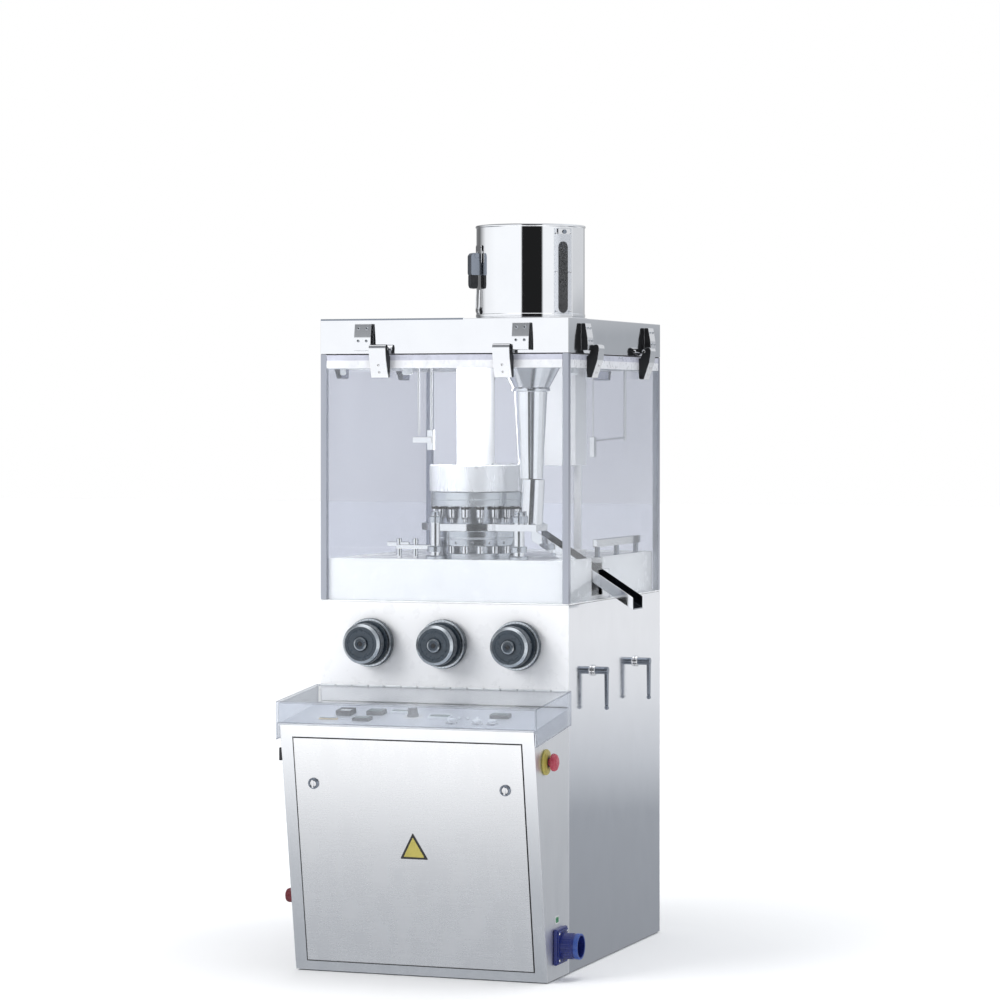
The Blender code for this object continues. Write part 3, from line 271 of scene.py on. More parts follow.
FINISHES = {
    "cover_steel": (polished, (0.93, 0.935, 0.95), 0.06),
    "side_steel": (polished, (0.90, 0.905, 0.93), 0.09),
    "hopper_mirror": (polished, (0.93, 0.935, 0.945), 0.035, 0.0003),
    "chrome": (polished, (0.92, 0.92, 0.93), 0.05, 0.0),
    "door_steel": (brushed, (0.93, 0.935, 0.95), 0.27, "x", 0.000004, 0.5),
    "frame_steel": (brushed, (0.86, 0.875, 0.90), 0.22, "z"),
    "cabinet_steel": (brushed, (0.88, 0.885, 0.91), 0.22, "z"),
    "panel_steel": (brushed, (0.80, 0.82, 0.86), 0.42, "x", 0.000008, 1.0, 0.5),
    "turned_steel": (brushed, (0.62, 0.645, 0.68), 0.22, "z", 0.000005, 0.5),
    "drum_steel": (brushed, (0.90, 0.91, 0.93), 0.26, "z", 0.000003, 0.3, 0.45),
    "guide_steel": (brushed, (0.68, 0.71, 0.74), 0.28, "z", 0.000003, 0.3, 0.75),
    # Darker copy of the hopper steel for the funnel's cone: painted shade.
    "funnel_painted_shade_steel": (polished, (0.74, 0.75, 0.78), 0.08, 0.0003),
    "chute_side": (polished, (0.86, 0.87, 0.89), 0.06, 0.0003),
    # Near-black steel for the chute's inside: painted shade.
    "chute_inside": (polished, (0.10, 0.11, 0.13), 0.18, 0.0),
    "band_enamel": (enamel, (0.90, 0.905, 0.92), 0.28),
    "table_enamel": (enamel, (0.92, 0.925, 0.935), 0.22),
    "casting_white": (enamel, (0.93, 0.93, 0.94), 0.35),
    "post_alloy": (brushed, (0.50, 0.52, 0.58), 0.32, "z"),
    "rail_lilac": (plastic, (0.50, 0.51, 0.59), 0.30, (0.80, 0.80, 0.84)),
    "rail_white": (plastic, (0.72, 0.73, 0.76), 0.30, (0.95, 0.95, 0.96)),
    "cast_iron": (cast, (0.20, 0.22, 0.24), 0.60),
    "motor_grey": (cast, (0.20, 0.25, 0.30), 0.45),
    "wheel_dark": (plastic, (0.032, 0.045, 0.060), 0.30, (0.30, 0.34, 0.38)),
    "wheel_black": (plastic, (0.012, 0.013, 0.016), 0.35),
    "wheel_ring": (brushed, (0.62, 0.66, 0.70), 0.28, "y", 0.00001),
    "gunmetal": (polished, (0.28, 0.31, 0.36), 0.22, 0.0),
    "black_plastic": (plastic, (0.015, 0.015, 0.018), 0.40),
    "pale_plastic": (plastic, (0.82, 0.84, 0.86), 0.30, (0.9, 0.9, 0.9)),
    "yellow": (plastic, (0.42, 0.36, 0.08), 0.35),
    "red": (plastic, (0.42, 0.05, 0.08), 0.25),
    "blue": (plastic, (0.010, 0.020, 0.160), 0.32, (0.05, 0.09, 0.35)),
    "blue_light": (plastic, (0.025, 0.070, 0.300), 0.30, (0.10, 0.18, 0.50)),
    "maroon": (plastic, (0.11, 0.008, 0.014), 0.30),
    "rubber": (plastic, (0.012, 0.012, 0.012), 0.70),
    "ink": (plastic, (0.02, 0.02, 0.02), 0.50),
    # Near-black for the hinge leaves' side faces: painted dark reflection.
    "hinge_side_painted_reflection": (plastic, (0.008, 0.009, 0.011), 0.45),
    "hinge_skin": (polished, (0.93, 0.935, 0.95), 0.10, 0.0),
    # Lighter copy of the console steel for the console's side faces: painted light.
    "console_side_painted_light": (brushed, (0.95, 0.955, 0.965), 0.42, "z"),
    "green": (plastic, (0.02, 0.22, 0.08), 0.30),
    "dial_white": (plastic, (0.85, 0.85, 0.83), 0.40, (0.9, 0.9, 0.9)),
    "screen": (plastic, (0.06, 0.12, 0.10), 0.15),
    "brass": (polished, (0.75, 0.55, 0.25), 0.25, 0.0),
    "clear_front": (acrylic, (0.975, 0.982, 0.990)),
    # Darker copy of the pane acrylic for the rear and left panes: painted shade.
    "clear_far_painted_shade": (acrylic, (0.80, 0.81, 0.86)),
    "clear_hood": (acrylic, (0.88, 0.895, 0.925), 0.02, 0.12),
    "hood_edge": (acrylic, (0.40, 0.42, 0.47), 0.10, 0.20),
    "clear_edge": (acrylic, (0.88, 0.90, 0.92), 0.10, 0.30),
    # Near-black see-through sheet for the sight slot: painted shade of the hopper's inside.
    "sight_slot_painted_shade": (acrylic, (0.10, 0.11, 0.14), 0.02, 0.01),
    "glass_plate": (acrylic, (0.95, 0.955, 0.965), 0.03, 0.01),
}
LOOKS = {name: finish(name, *rest) for name, (finish, *rest) in FINISHES.items()}


# Placements and outlines


def move(x, y, z):
    return Matrix.Translation((x, y, z))


def spin(angle):
    return Matrix.Rotation(angle, 4, "Z")


def facing(origin, normal, across=None):
    """Placement whose local Z is the normal."""
    up = Vector(normal).normalized()
    first = Vector(across) if across else Vector((0, 0, 1) if abs(up.z) < 0.9 else (1, 0, 0))
    first = (first - up * first.dot(up)).normalized()
    turned = Matrix((first, up.cross(first), up)).transposed().to_4x4()
    return Matrix.Translation(Vector(origin)) @ turned


def path(*numbers):
    """Points of a profile or outline from their numbers in turn."""
    return list(zip(numbers[::2], numbers[1::2]))


def both_ends(*numbers):
    """A profile and its mirror image below."""
    upper = path(*numbers)
    return upper + [(radius, -height) for radius, height in reversed(upper)]


def fillet(points, radius, steps=3, closed=False):
    """Rounds the corners of a line of 2D points."""
    count = len(points)
    made = []
    for i, point in enumerate(points):
        here = Vector(point)
        if not closed and i in (0, count - 1):
            made.append(tuple(here))
            continue
        before = Vector(points[i - 1]) - here
        after = Vector(points[(i + 1) % count]) - here
        reach = min(radius, before.length * 0.45, after.length * 0.45)
        start = here + before.normalized() * reach
        end = here + after.normalized() * reach
        for step in range(steps + 1):
            t = step / steps
            made.append(tuple(start * (1 - t) ** 2 + here * 2 * t * (1 - t) + end * t * t))
    return made


def curve_through(points, steps=8):
    """Catmull-Rom points through a few given ones."""
    points = [Vector(p) for p in points]
    made = []
    for i in range(len(points) - 1):
        a = points[max(i - 1, 0)]
        b, c = points[i : i + 2]
        d = points[min(i + 2, len(points) - 1)]
        for step in range(steps):
            t = step / steps
            slope = (c - a) * t + (2 * a - 5 * b + 4 * c - d) * t * t + (3 * b - a - 3 * c + d) * t**3
            made.append(0.5 * (2 * b + slope))
    made.append(points[-1])
    return made


def round_about(count, radius, height, offset=0.0):
    """Spots and angles evenly round the Z axis."""
    for i in range(count):
        angle = 2 * math.pi * i / count + offset
        yield Vector((math.cos(angle) * radius, math.sin(angle) * radius, height)), angle


# Shells: each adds one closed body to a bmesh


def new_mesh(name, work):
    mesh = bpy.data.meshes.new(name)
    work.to_mesh(mesh)
    work.free()
    return mesh


def add_object(name, data):
    made = bpy.data.objects.new(name, data)
    SCENE.collection.objects.link(made)
    return made


def add_shell(work, shell, at, mat, cap=None):
    """Joins a shell in metres to a piece; cap is the material of faces square to local Z."""
    for face in shell.faces:
        face.material_index = mat if cap is None or abs(face.normal.z) < 0.99 else cap
    place = at.copy()
    place.translation *= MM
    bmesh.ops.transform(shell, matrix=place, verts=shell.verts)
    mesh = new_mesh("shell", shell)
    work.from_mesh(mesh)
    bpy.data.meshes.remove(mesh)


def turn(work, profile, at=HERE, steps=64, mat=0, ring=False, shape=None):
    """A turned body about local Z; shape(angle, radius, height) may change a radius."""
    shell = bmesh.new()
    rows = []
    for radius, height in profile:
        if radius < 1e-4:
            rows.append([shell.verts.new((0, 0, height * MM))])
            continue
        row = []
        for i in range(steps):
            angle = 2 * math.pi * i / steps
            wide = (shape(angle, radius, height) if shape else radius) * MM
            row.append(shell.verts.new((math.cos(angle) * wide, math.sin(angle) * wide, height * MM)))
        rows.append(row)
    pairs = list(zip(rows, rows[1:]))
    if ring:
        pairs.append((rows[-1], rows[0]))
    for one, two in pairs:
        for i in range(steps):
            j = (i + 1) % steps
            if len(one) == 1 and len(two) > 1:
                shell.faces.new((one[0], two[i], two[j]))
            elif len(two) == 1 and len(one) > 1:
                shell.faces.new((one[i], one[j], two[0]))
            elif len(one) > 1:
                shell.faces.new((one[i], one[j], two[j], two[i]))
    add_shell(work, shell, at, mat)


def disc(work, radius, top, bottom, at, steps, mat=0):
    turn(work, path(0, top, radius, top, radius, bottom, 0, bottom), at, steps, mat)


def hoop(work, inner, outer, top, bottom, at, steps, mat=0):
    turn(work, path(inner, top, outer, top, outer, bottom, inner, bottom), at, steps, mat, True)


def bevelled(shell, width, segments, angle=30):
    """Rounds a shell's sharp edges by a width in millimetres; returns the new faces."""
    if width == 0:
        return []
    limit = math.radians(angle)
    edges = [e for e in shell.edges if len(e.link_faces) == 2 and e.calc_face_angle() > limit]
    settings = {"segments": segments, "profile": 0.6, "affect": "EDGES", "clamp_overlap": True}
    return bmesh.ops.bevel(shell, geom=edges, offset=width * MM, **settings)["faces"]


def slab(work, low, high, at=HERE, bevel=0.5, mat=0, segments=2):
    shell = bmesh.new()
    low = Vector([value * MM for value in low])
    high = Vector([value * MM for value in high])
    bmesh.ops.create_cube(shell, size=1.0)
    bmesh.ops.scale(shell, vec=high - low, verts=shell.verts)
    bmesh.ops.translate(shell, vec=(low + high) / 2, verts=shell.verts)
    bevelled(shell, bevel, segments)
    add_shell(work, shell, at, mat)


def slabs(work, plans, low, high, at=HERE, bevel=0.5, mat=0):
    """Slabs between two heights; each plan is x0, y0, x1, y1."""
    for x0, y0, x1, y1 in plans:
        slab(work, (x0, y0, low), (x1, y1, high), at, bevel, mat)


def extrude(work, outline, low, high, at=HERE, bevel=0.4, mat=0, segments=2, cap=None):
    """A flat outline in local XY, from local Z low to high."""
    shell = bmesh.new()
    bottom = [shell.verts.new((x * MM, y * MM, low * MM)) for x, y in outline]
    top = [shell.verts.new((x * MM, y * MM, high * MM)) for x, y in outline]
    shell.faces.new(bottom)
    shell.faces.new(list(reversed(top)))
    for i in range(len(outline)):
        j = (i + 1) % len(outline)
        shell.faces.new((bottom[i], top[i], top[j], bottom[j]))
    bmesh.ops.recalc_face_normals(shell, faces=shell.faces)
    bevelled(shell, bevel, segments, 40)
    add_shell(work, shell, at, mat, cap)


def pipe(work, points, radius, steps=16, mat=0):
    """A round bar along a line of points."""
    points = [Vector(p) * MM for p in points]
    shell = bmesh.new()
    ahead = (points[1] - points[0]).normalized()
    side = ahead.orthogonal().normalized()
    rows = []
    for i, point in enumerate(points):
        if i > 0:
            before = (point - points[i - 1]).normalized()
            after = (points[i + 1] - point).normalized() if i < len(points) - 1 else before
            ahead = (before + after).normalized()
        side = (side - ahead * side.dot(ahead)).normalized()
        up = ahead.cross(side)
        row = []
        for k in range(steps):
            angle = 2 * math.pi * k / steps
            way = side * math.cos(angle) + up * math.sin(angle)
            row.append(shell.verts.new(point + way * radius * MM))
        rows.append(row)
    for one, two in zip(rows, rows[1:]):
        for k in range(steps):
            m = (k + 1) % steps
            shell.faces.new((one[k], one[m], two[m], two[k]))
    shell.faces.new(rows[0])
    shell.faces.new(list(reversed(rows[-1])))
    add_shell(work, shell, HERE, mat)


def evaluated_bmesh(obj):
    """The shape of an object after its modifiers."""
    bpy.context.view_layer.update()
    mesh = bpy.data.meshes.new_from_object(obj.evaluated_get(bpy.context.evaluated_depsgraph_get()))
    made = bmesh.new()
    made.from_mesh(mesh)
    bpy.data.meshes.remove(mesh)
    return made


def glyphs(work, text, size, at, depth, mat):
    """Raised numerals, centred on the placement."""
    curve = bpy.data.curves.new("glyphs", "FONT")
    curve.body = text
    curve.size = size * MM
    curve.extrude = depth * MM / 2
    curve.align_x = "CENTER"
    curve.align_y = "CENTER"
    obj = add_object("glyphs", curve)
    shell = evaluated_bmesh(obj)
    bpy.data.objects.remove(obj, do_unlink=True)
    bmesh.ops.remove_doubles(shell, verts=shell.verts, dist=1e-6)
    add_shell(work, shell, at, mat)


def screw(work, at, radius=3, mat=0, dark=None):
    """A domed screw head; dark is the material of its hex socket."""
    r = radius
    turn(work, path(0, r * 0.55, r * 0.7, r * 0.5, r, r * 0.15, r, -0.5, 0, -0.5), at, 20, mat)
    if dark is not None:
        turn(work, path(0, r * 0.62, r * 0.45, r * 0.60, r * 0.45, 0, 0, 0), at, 6, dark)


def carved(work, cutter):
    """The first body less the second."""
    pair = []
    for part in (work, cutter):
        bmesh.ops.recalc_face_normals(part, faces=part.faces)
        pair.append(add_object("carve", new_mesh("carve", part)))
    step = pair[0].modifiers.new("cut", "BOOLEAN")
    step.operation = "DIFFERENCE"
    step.solver = "EXACT"
    step.object = pair[1]
    made = evaluated_bmesh(pair[0])
    for obj in pair:
        bpy.data.objects.remove(obj, do_unlink=True)
    return made


# Pieces


def piece(name, work, looks, body, slot, *replaced, angle=35):
    bmesh.ops.recalc_face_normals(work, faces=work.faces)
    mesh = new_mesh(name, work)
    mesh.shade_smooth()
    mesh.set_sharp_from_angle(angle=math.radians(angle))
    for look in looks:
        mesh.materials.append(LOOKS[look])
    obj = add_object(name, mesh)
    weigh = obj.modifiers.new("weigh", "WEIGHTED_NORMAL")
    weigh.keep_sharp = True
    weigh.weight = 100
    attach(obj, body)
    if replaced:
        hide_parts(*replaced)
    return obj


def skin(node, work, looks, slot, angle=35):
    """A piece in place of a CAD node."""
    return piece(node + "_skin", work, looks, NODES[node]["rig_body"], slot, node, angle=angle)


def cad_shell(node, bevel, segments=2, edge_mat=None):
    """A CAD node's shape with its flat faces merged and its edges rounded."""
    shell = bmesh.new()
    shell.from_mesh(NODES[node].data)
    bmesh.ops.remove_doubles(shell, verts=shell.verts, dist=1e-5)
    flat = math.radians(1.0)
    bmesh.ops.dissolve_limit(shell, angle_limit=flat, verts=shell.verts, edges=shell.edges)
    faces = bevelled(shell, bevel, segments)
    if edge_mat is not None:
        for face in faces:
            face.material_index = edge_mat
    return shell


def refine(node, look, slot, bevel=0.8, segments=2, edge=None, extra=None):
    """Replaces a CAD node by its own shape with rounded edges."""
    work = cad_shell(node, bevel, segments, 1 if edge else None)
    if extra:
        extra(work)
    return skin(node, work, [look, edge] if edge else [look], slot)


def box_of(node):
    """Low corner, high corner and middle of a CAD node."""
    low, high = (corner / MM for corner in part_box(node))
    return low, high, (low + high) / 2


# Housing


FACE_Y = box_of("front_band")[0].y
SIDE_X = box_of("front_band")[1].x
TABLE_Z, TABLE_TOP = (corner.z for corner in box_of("worktable")[:2])
DECK_Z = 919.5
DOOR_LEAN = Vector((0, -0.1646, 0.9864))
DOOR_OUT = Vector((0, -0.9864, -0.1646))
CONSOLE_FOOT = Vector((0, -356.5, 0))


def door_at(x, up, out=0.0):
    """Placement on the leaning front; local X is +X and local Z is outward."""
    spot = CONSOLE_FOOT + DOOR_LEAN * up + DOOR_OUT * out + Vector((x, 0, 0))
    return facing(spot, DOOR_OUT, (1, 0, 0))


def side_at(y, z):
    """Placement on the right face; local Z is +X and local X is up."""
    return facing((SIDE_X, y, z), (1, 0, 0), (0, 0, 1))


def make_housing():
    for material_slot in NODES["base_frame"].material_slots:
        material_slot.material = LOOKS["cast_iron"]
    refine("cabinet_shell", "cabinet_steel", "cabinet_steel", 0.6)
    refine("front_band", "band_enamel", "white_enamel")
    refine("right_side_panel", "side_steel", "cabinet_steel", 0.6)
    shell = refine("console_shell", "frame_steel", "console_steel", 1.2, 3)
    # The console's side faces, picked by normal, in a lighter copy of its steel: painted light.
    shell.data.materials.append(LOOKS["console_side_painted_light"])
    for face in shell.data.polygons:
        if abs(face.normal.x) > 0.9:
            face.material_index = 1
    make_door_gap_shade()
    refine("control_panel", "panel_steel", "console_steel", 0.4)
    refine("worktable", "table_enamel", "white_enamel", 1.5, 3, extra=table_lip)
    refine("top_cover", "cover_steel", "white_enamel", 1.2, 3)
    refine("guard_frame", "post_alloy", "guard_steel", 1)
    make_cover_seals()


def make_cover_seals():
    """Rubber seal between the cover and its ring, and a dark capping strip on the cover's front edge."""
    work = bmesh.new()
    out, inner = 298.5, 293
    plans = (
        (-out, -213.6, out, -208), (-out, 469.6, out, 475),
        (-out, -207.8, -inner, 469.4), (inner, -207.8, out, 469.4),
    )
    slabs(work, plans, 1386.7, 1388.8, bevel=0.3)
    piece("cover_seal", work, ["rubber"], "root", "black_plastic")
    work = bmesh.new()
    slab(work, (-298.8, -215.4, 1465), (48, -214.4, 1468.4), bevel=0.4)
    slab(work, (-298.8, -215.4, 1468.1), (48, -208.5, 1468.8), bevel=0.3)
    piece("cover_capping", work, ["gunmetal"], "root", "black_plastic")


def table_lip(work):
    """Raised lip round the deck, as the folded sheet has, with a gap for the chute."""
    half, front, back = 282.5, -203.6, 465
    start, end = front + 4.2, back - 4.2
    plans = (
        (-half, front, half, front + 4), (-half, back - 4, half, back), (-half, start, 4 - half, end),
        (half - 4, start, half, -1), (half - 4, 84, half, end),
    )
    slabs(work, plans, TABLE_TOP - 0.5, TABLE_TOP + 3, bevel=1)


def make_door_gap_shade():
    """Black strip round the doorway: painted shadow in the door's gap."""
    work = bmesh.new()
    wide, low, high, lip = 269.7, 25.3, 539.7, 1.6
    out = wide + lip
    plans = (
        (-out, low - lip, out, low), (-out, high, out, high + lip),
        (-out, low, -wide, high), (wide, low, out, high),
    )
    slabs(work, plans, -0.5, 0.5, door_at(0, 0), 0.2)
    piece("door_gap_shade", work, ["rubber"], "root", "black_plastic")


def make_table_gasket():
    """Black gasket line between the column and the worktable rim."""
    work = bmesh.new()
    slabs(work, [(-297.5, -212.1, 297.5, 473.5)], TABLE_Z - 0.6, TABLE_Z + 0.6, bevel=0.1)
    piece("worktable_gasket", work, ["rubber"], "root", "black_plastic")


# Windows

# Angle of the side, its distance, centre, rail's half length, start of the lower and upper leaves, pane
SIDES = {
    "front": (0.0, -FACE_Y, 0.0, 285.2, 128.5, 170, "clear_front"),
    "right": (math.pi / 2, SIDE_X, 130.75, 330.45, 175.5, 217, "clear_front"),
    "rear": (math.pi, 475.5, 0.0, 285.2, 128.5, 170, "clear_far_painted_shade"),
    "left": (-math.pi / 2, SIDE_X, -130.75, 330.45, 175.5, 217, "clear_far_painted_shade"),
}
LEAF_WIDTH = 41
HINGE_Z = 1400
LOWER_LEAF = path(
    0.2, 1334, 12.5, 1333.5, 26.5, 1374, 29, 1392, 30, HINGE_Z, 28.5, 1407.5,
    22.5, 1410, 16.5, 1408, 11, 1401.5, 4.5, 1385, -1.5, 1384, -1.5, 1360)
UPPER_LEAF = path(0.6, 1457, 10.6, 1457, 16, 1425.5, 17.2, 1408, 17.2, 1397, 15.7, 1395.5, 0.6, 1395.5)


def leaf_at(angle, reach, x):
    """Local X is out from the window, local Y is up, local Z runs along the hinge."""
    return spin(angle) @ Matrix(((0, 0, 1, x), (-1, 0, 0, -reach), (0, 1, 0, 0), (0, 0, 0, 1)))


def leaf_screw(work, at, spot, slope, radius, mat):
    screw(work, facing(at @ Vector(spot), at.to_3x3() @ Vector((1, slope, 0))), radius, mat, mat + 1)


def make_window(side):
    angle, reach, centre, half, lower, upper, look = SIDES[side]
    refine(side + "_window_pane", look, "clear_acrylic", 0.7, 1, "clear_edge")
    work = bmesh.new()
    back = spin(angle)
    inner = 8 - reach
    slab(work, (centre - half, -reach - 0.5, 1356), (centre + half, inner, 1374), back, 1)
    slab(work, (centre - half, -reach - 0.3, 1373.6), (centre + half, inner, 1386.5), back, 1, 5)
    for count in range(7):
        x = centre - half + 20 + count * (half - 20) / 3
        screw(work, back @ facing((x, inner, 1364), (0, 1, 0)), 2.5, 2, 3)
    for way in (-1, 1):
        at = leaf_at(angle, reach, centre + way * (lower + LEAF_WIDTH / 2))
        # The leaf's side faces are near-black: painted dark reflection.
        extrude(work, fillet(LOWER_LEAF, 1.5, 2, True), -LEAF_WIDTH / 2, LEAF_WIDTH / 2, at, 0.8, 1, 2, 4)
        pin = facing(at @ Vector((12.5, HINGE_Z, 0)), at.to_3x3() @ Vector((0, 0, 1)))
        turn(work, both_ends(0, 21.2, 3, 21, 4.2, 19.8), pin, 20, 2)
        for height in (1346, 1362):
            leaf_screw(work, at, (12.5 + (height - 1334) * 0.36, height, 0), -0.36, 3.2, 2)
    looks = ["rail_white", "hinge_skin", "chrome", "ink", "hinge_side_painted_reflection", "rail_lilac"]
    skin(side + "_window_rail", work, looks, "white_rail")
    for number, way in ((1, -1), (2, 1)):
        at = leaf_at(angle, reach, centre + way * (upper + LEAF_WIDTH / 2))
        work = bmesh.new()
        # The leaf's side faces are near-black: painted dark reflection.
        extrude(work, fillet(UPPER_LEAF, 1.8, 3, True), -LEAF_WIDTH / 2, LEAF_WIDTH / 2, at, 0.9, 0, 2, 3)
        for out, height in ((16.6, 1418), (12.6, 1446)):
            for along in (10, -10):
                leaf_screw(work, at, (out, height, along), 0.26, 3.4, 1)
        skin(f"{side}_hinge_{number}", work, ["hinge_skin", "turned_steel", "ink", "hinge_side_painted_reflection"], "hinge_chrome")


def make_stays():
    """Small brackets on thin rods behind the front and the right window, and the ring's lamps."""
    work = bmesh.new()
    pipe(work, [(-73, -180, 1371), (-71.54, -180, 1205)], 3, 12)
    pipe(work, [(-45, -172, 1371), (-45, -172, 1205)], 3, 12)
    slab(work, (-85, -185, 1186), (-39, -167, 1200), bevel=1.5)
    slab(work, (-52, -180, 1170), (-38, -164, 1216), bevel=1.5)
    for x, y in ((-73, -180), (-45, -172)):
        turn(work, both_ends(0, 6, 6, 5.5, 6.5, 4), move(x, y, 1365), 20)
    slab(work, (264, 42, 1153), (276, 58, 1199), bevel=1.5)
    pipe(work, [(270, 50, 1195), (270, 50, 1371)], 1.8, 12)
    pipe(work, [(270, 50, 1190), (270, 290, 1196)], 2, 12)
    pipe(work, [(270, 290, 1189), (270, 290, 1371)], 3.4, 14)
    piece("window_stays", work, ["chrome"], "root", "guard_steel")
    work = bmesh.new()
    for x, y, wide in ((-259, -178, 7), (-100, -180, 12.5), (255, -40, 8)):
        lamp = path(0, 12, wide * 0.8, 11, wide, 9, wide, -13, wide * 0.7, -16, 0, -16)
        turn(work, lamp, move(x, y, 1357), 24)
    piece("ring_lamps", work, ["pale_plastic"], "root", "guard_steel")


# Press

PUNCHES = 17
PITCH_RADIUS = 93.8


def pillar_collars(work):
    for x, bar in ((-95, 11.5), (170, 9.2)):
        turn(work, path(bar, 14, 19, 12, 20, 10, 20, 0.5, bar, 0.5), move(x, 236, 919.3), 40, 0, True)


def make_drum():
    work = bmesh.new()
    profile = path(
        0, 1135, 104, 1135, 107, 1132.5, 107, 1074.5, 105.8, 1073.3, 100, 1073.3, 100, 1127, 0, 1127)
    turn(work, fillet(profile, 0.6, 2), HERE, 128)
    for spot, angle in round_about(6, 85, 1135, 0.3):
        screw(work, Matrix.Translation(spot), 5, 1, 2)
    skin("upper_cam_drum", work, ["drum_steel", "chrome", "ink"], "press_steel")


def make_turret():
    work = bmesh.new()
    profile = path(
        0, 1072.2, 82, 1072.2, 83, 1071.2, 83, 985, 83.5, 984, 103.6, 984, 105, 982.6, 105, 968, 104.2, 967.2,
        104.2, 964.8, 105, 964, 105, 949.4, 103.6, 948, 78, 948, 78, 932, 104, 932, 105, 931, 105, 908,
        103.5, 907, 103.5, 904, 105, 903, 105, 881.2, 103.8, 880, 0, 880)
    turn(work, fillet(profile, 0.5, 2), HERE, 128)
    cutter = bmesh.new()
    for spot, angle in round_about(PUNCHES, PITCH_RADIUS, 984):
        turn(cutter, path(0, 4, 5.5, 4, 5.5, -10, 0, -12), Matrix.Translation(spot), 16)
    for spot, angle in round_about(PUNCHES, 106, 956, math.pi / PUNCHES):
        way = (math.cos(angle), math.sin(angle), 0)
        turn(cutter, path(0, 4, 3.4, 4, 3.4, -8, 0, -9), facing(spot, way), 14)
    work = carved(work, cutter)
    die_rim = path(11.5, 0, 11, 0.4, 6.2, 0.4, 5.6, 0, 5.6, -1, 11.5, -1)
    for spot, angle in round_about(PUNCHES, PITCH_RADIUS, 984.08):
        turn(work, die_rim, Matrix.Translation(spot), 28, 1, True)
    for spot, angle in round_about(PUNCHES, PITCH_RADIUS, 0.0):
        disc(work, 8, 948.4, 931.6, Matrix.Translation(spot), 16, 1)
    skin("turret", work, ["turned_steel", "chrome"], "press_steel")


def make_punches():
    work = bmesh.new()
    profile = path(
        104, 1071.2, 104, 1056, 103.2, 1055.2, 103.2, 1053.6, 104, 1052.8, 104, 1041, 103, 1040,
        83.5, 1040, 83.5, 1072.2, 103, 1072.2)
    turn(work, fillet(profile, 0.4, 2, True), HERE, 119, 0, True)
    punch = path(0, 1050, 9, 1050, 9, 1015, 8.2, 1012.5, 5.2, 1010.5, 4.8, 1002.2, 0, 1002)
    for spot, angle in round_about(PUNCHES, PITCH_RADIUS, 0.0):
        at = Matrix.Translation(spot)
        turn(work, fillet(punch, 0.5, 2), at, 24, 1)
        turn(work, path(9, 1038.5, 10, 1038, 10, 1033, 9, 1032.5), at, 24, 2, True)
    skin("upper_punches", work, ["guide_steel", "chrome", "rubber"], "press_steel")


def worm_wheel(angle, radius, height):
    """Teeth on the widest part of the main shaft."""
    if radius < 105:
        return radius
    return radius + 4 * math.tanh(3 * math.cos(48 * angle)) - 4


def make_main_shaft():
    work = bmesh.new()
    profile = path(
        0, 879.7, 24.5, 879.7, 25, 879, 25, 483, 44, 483, 45, 480, 45, 463, 90, 460, 92, 463, 106, 463,
        110, 460, 110, 440, 106, 437, 92, 437, 90, 440, 45, 437, 45, 420, 25, 417, 25, 20.3, 0, 20.3)
    turn(work, profile, HERE, 480, 0, shape=worm_wheel)
    for spot, angle in round_about(6, 68, 460.5):
        screw(work, Matrix.Translation(spot), 6, 1)
    skin("main_shaft", work, ["turned_steel", "brass"], "press_steel")


def make_roller(node, radius, front, back, axle, end):
    """A dished roller between two faces, and its axle."""
    mid = box_of(node)[2]
    rim, hub, dish = radius * 0.85, radius * 0.45, front - 2
    profile = path(
        0, front, hub, front, hub, dish, rim, dish, rim, front, radius, front, radius, back, rim, back,
        axle * 1.5, back + 2, axle, back, axle, end, 0, end)
    work = bmesh.new()
    turn(work, fillet(profile, 1.2, 2), facing((0, mid.y, mid.z), (1, 0, 0)), 64)
    skin(node, work, ["chrome"], "press_steel")


def make_press():
    refine("press_frame", "casting_white", "base_casting", 3, 3, "casting_white", pillar_collars)
    make_drum()
    make_turret()
    make_punches()
    make_main_shaft()
    make_roller("upper_roller", 23.5, -74, -92, 7, -98.5)
    make_roller("lower_roller", 45, -78, -112, 12, -199.7)


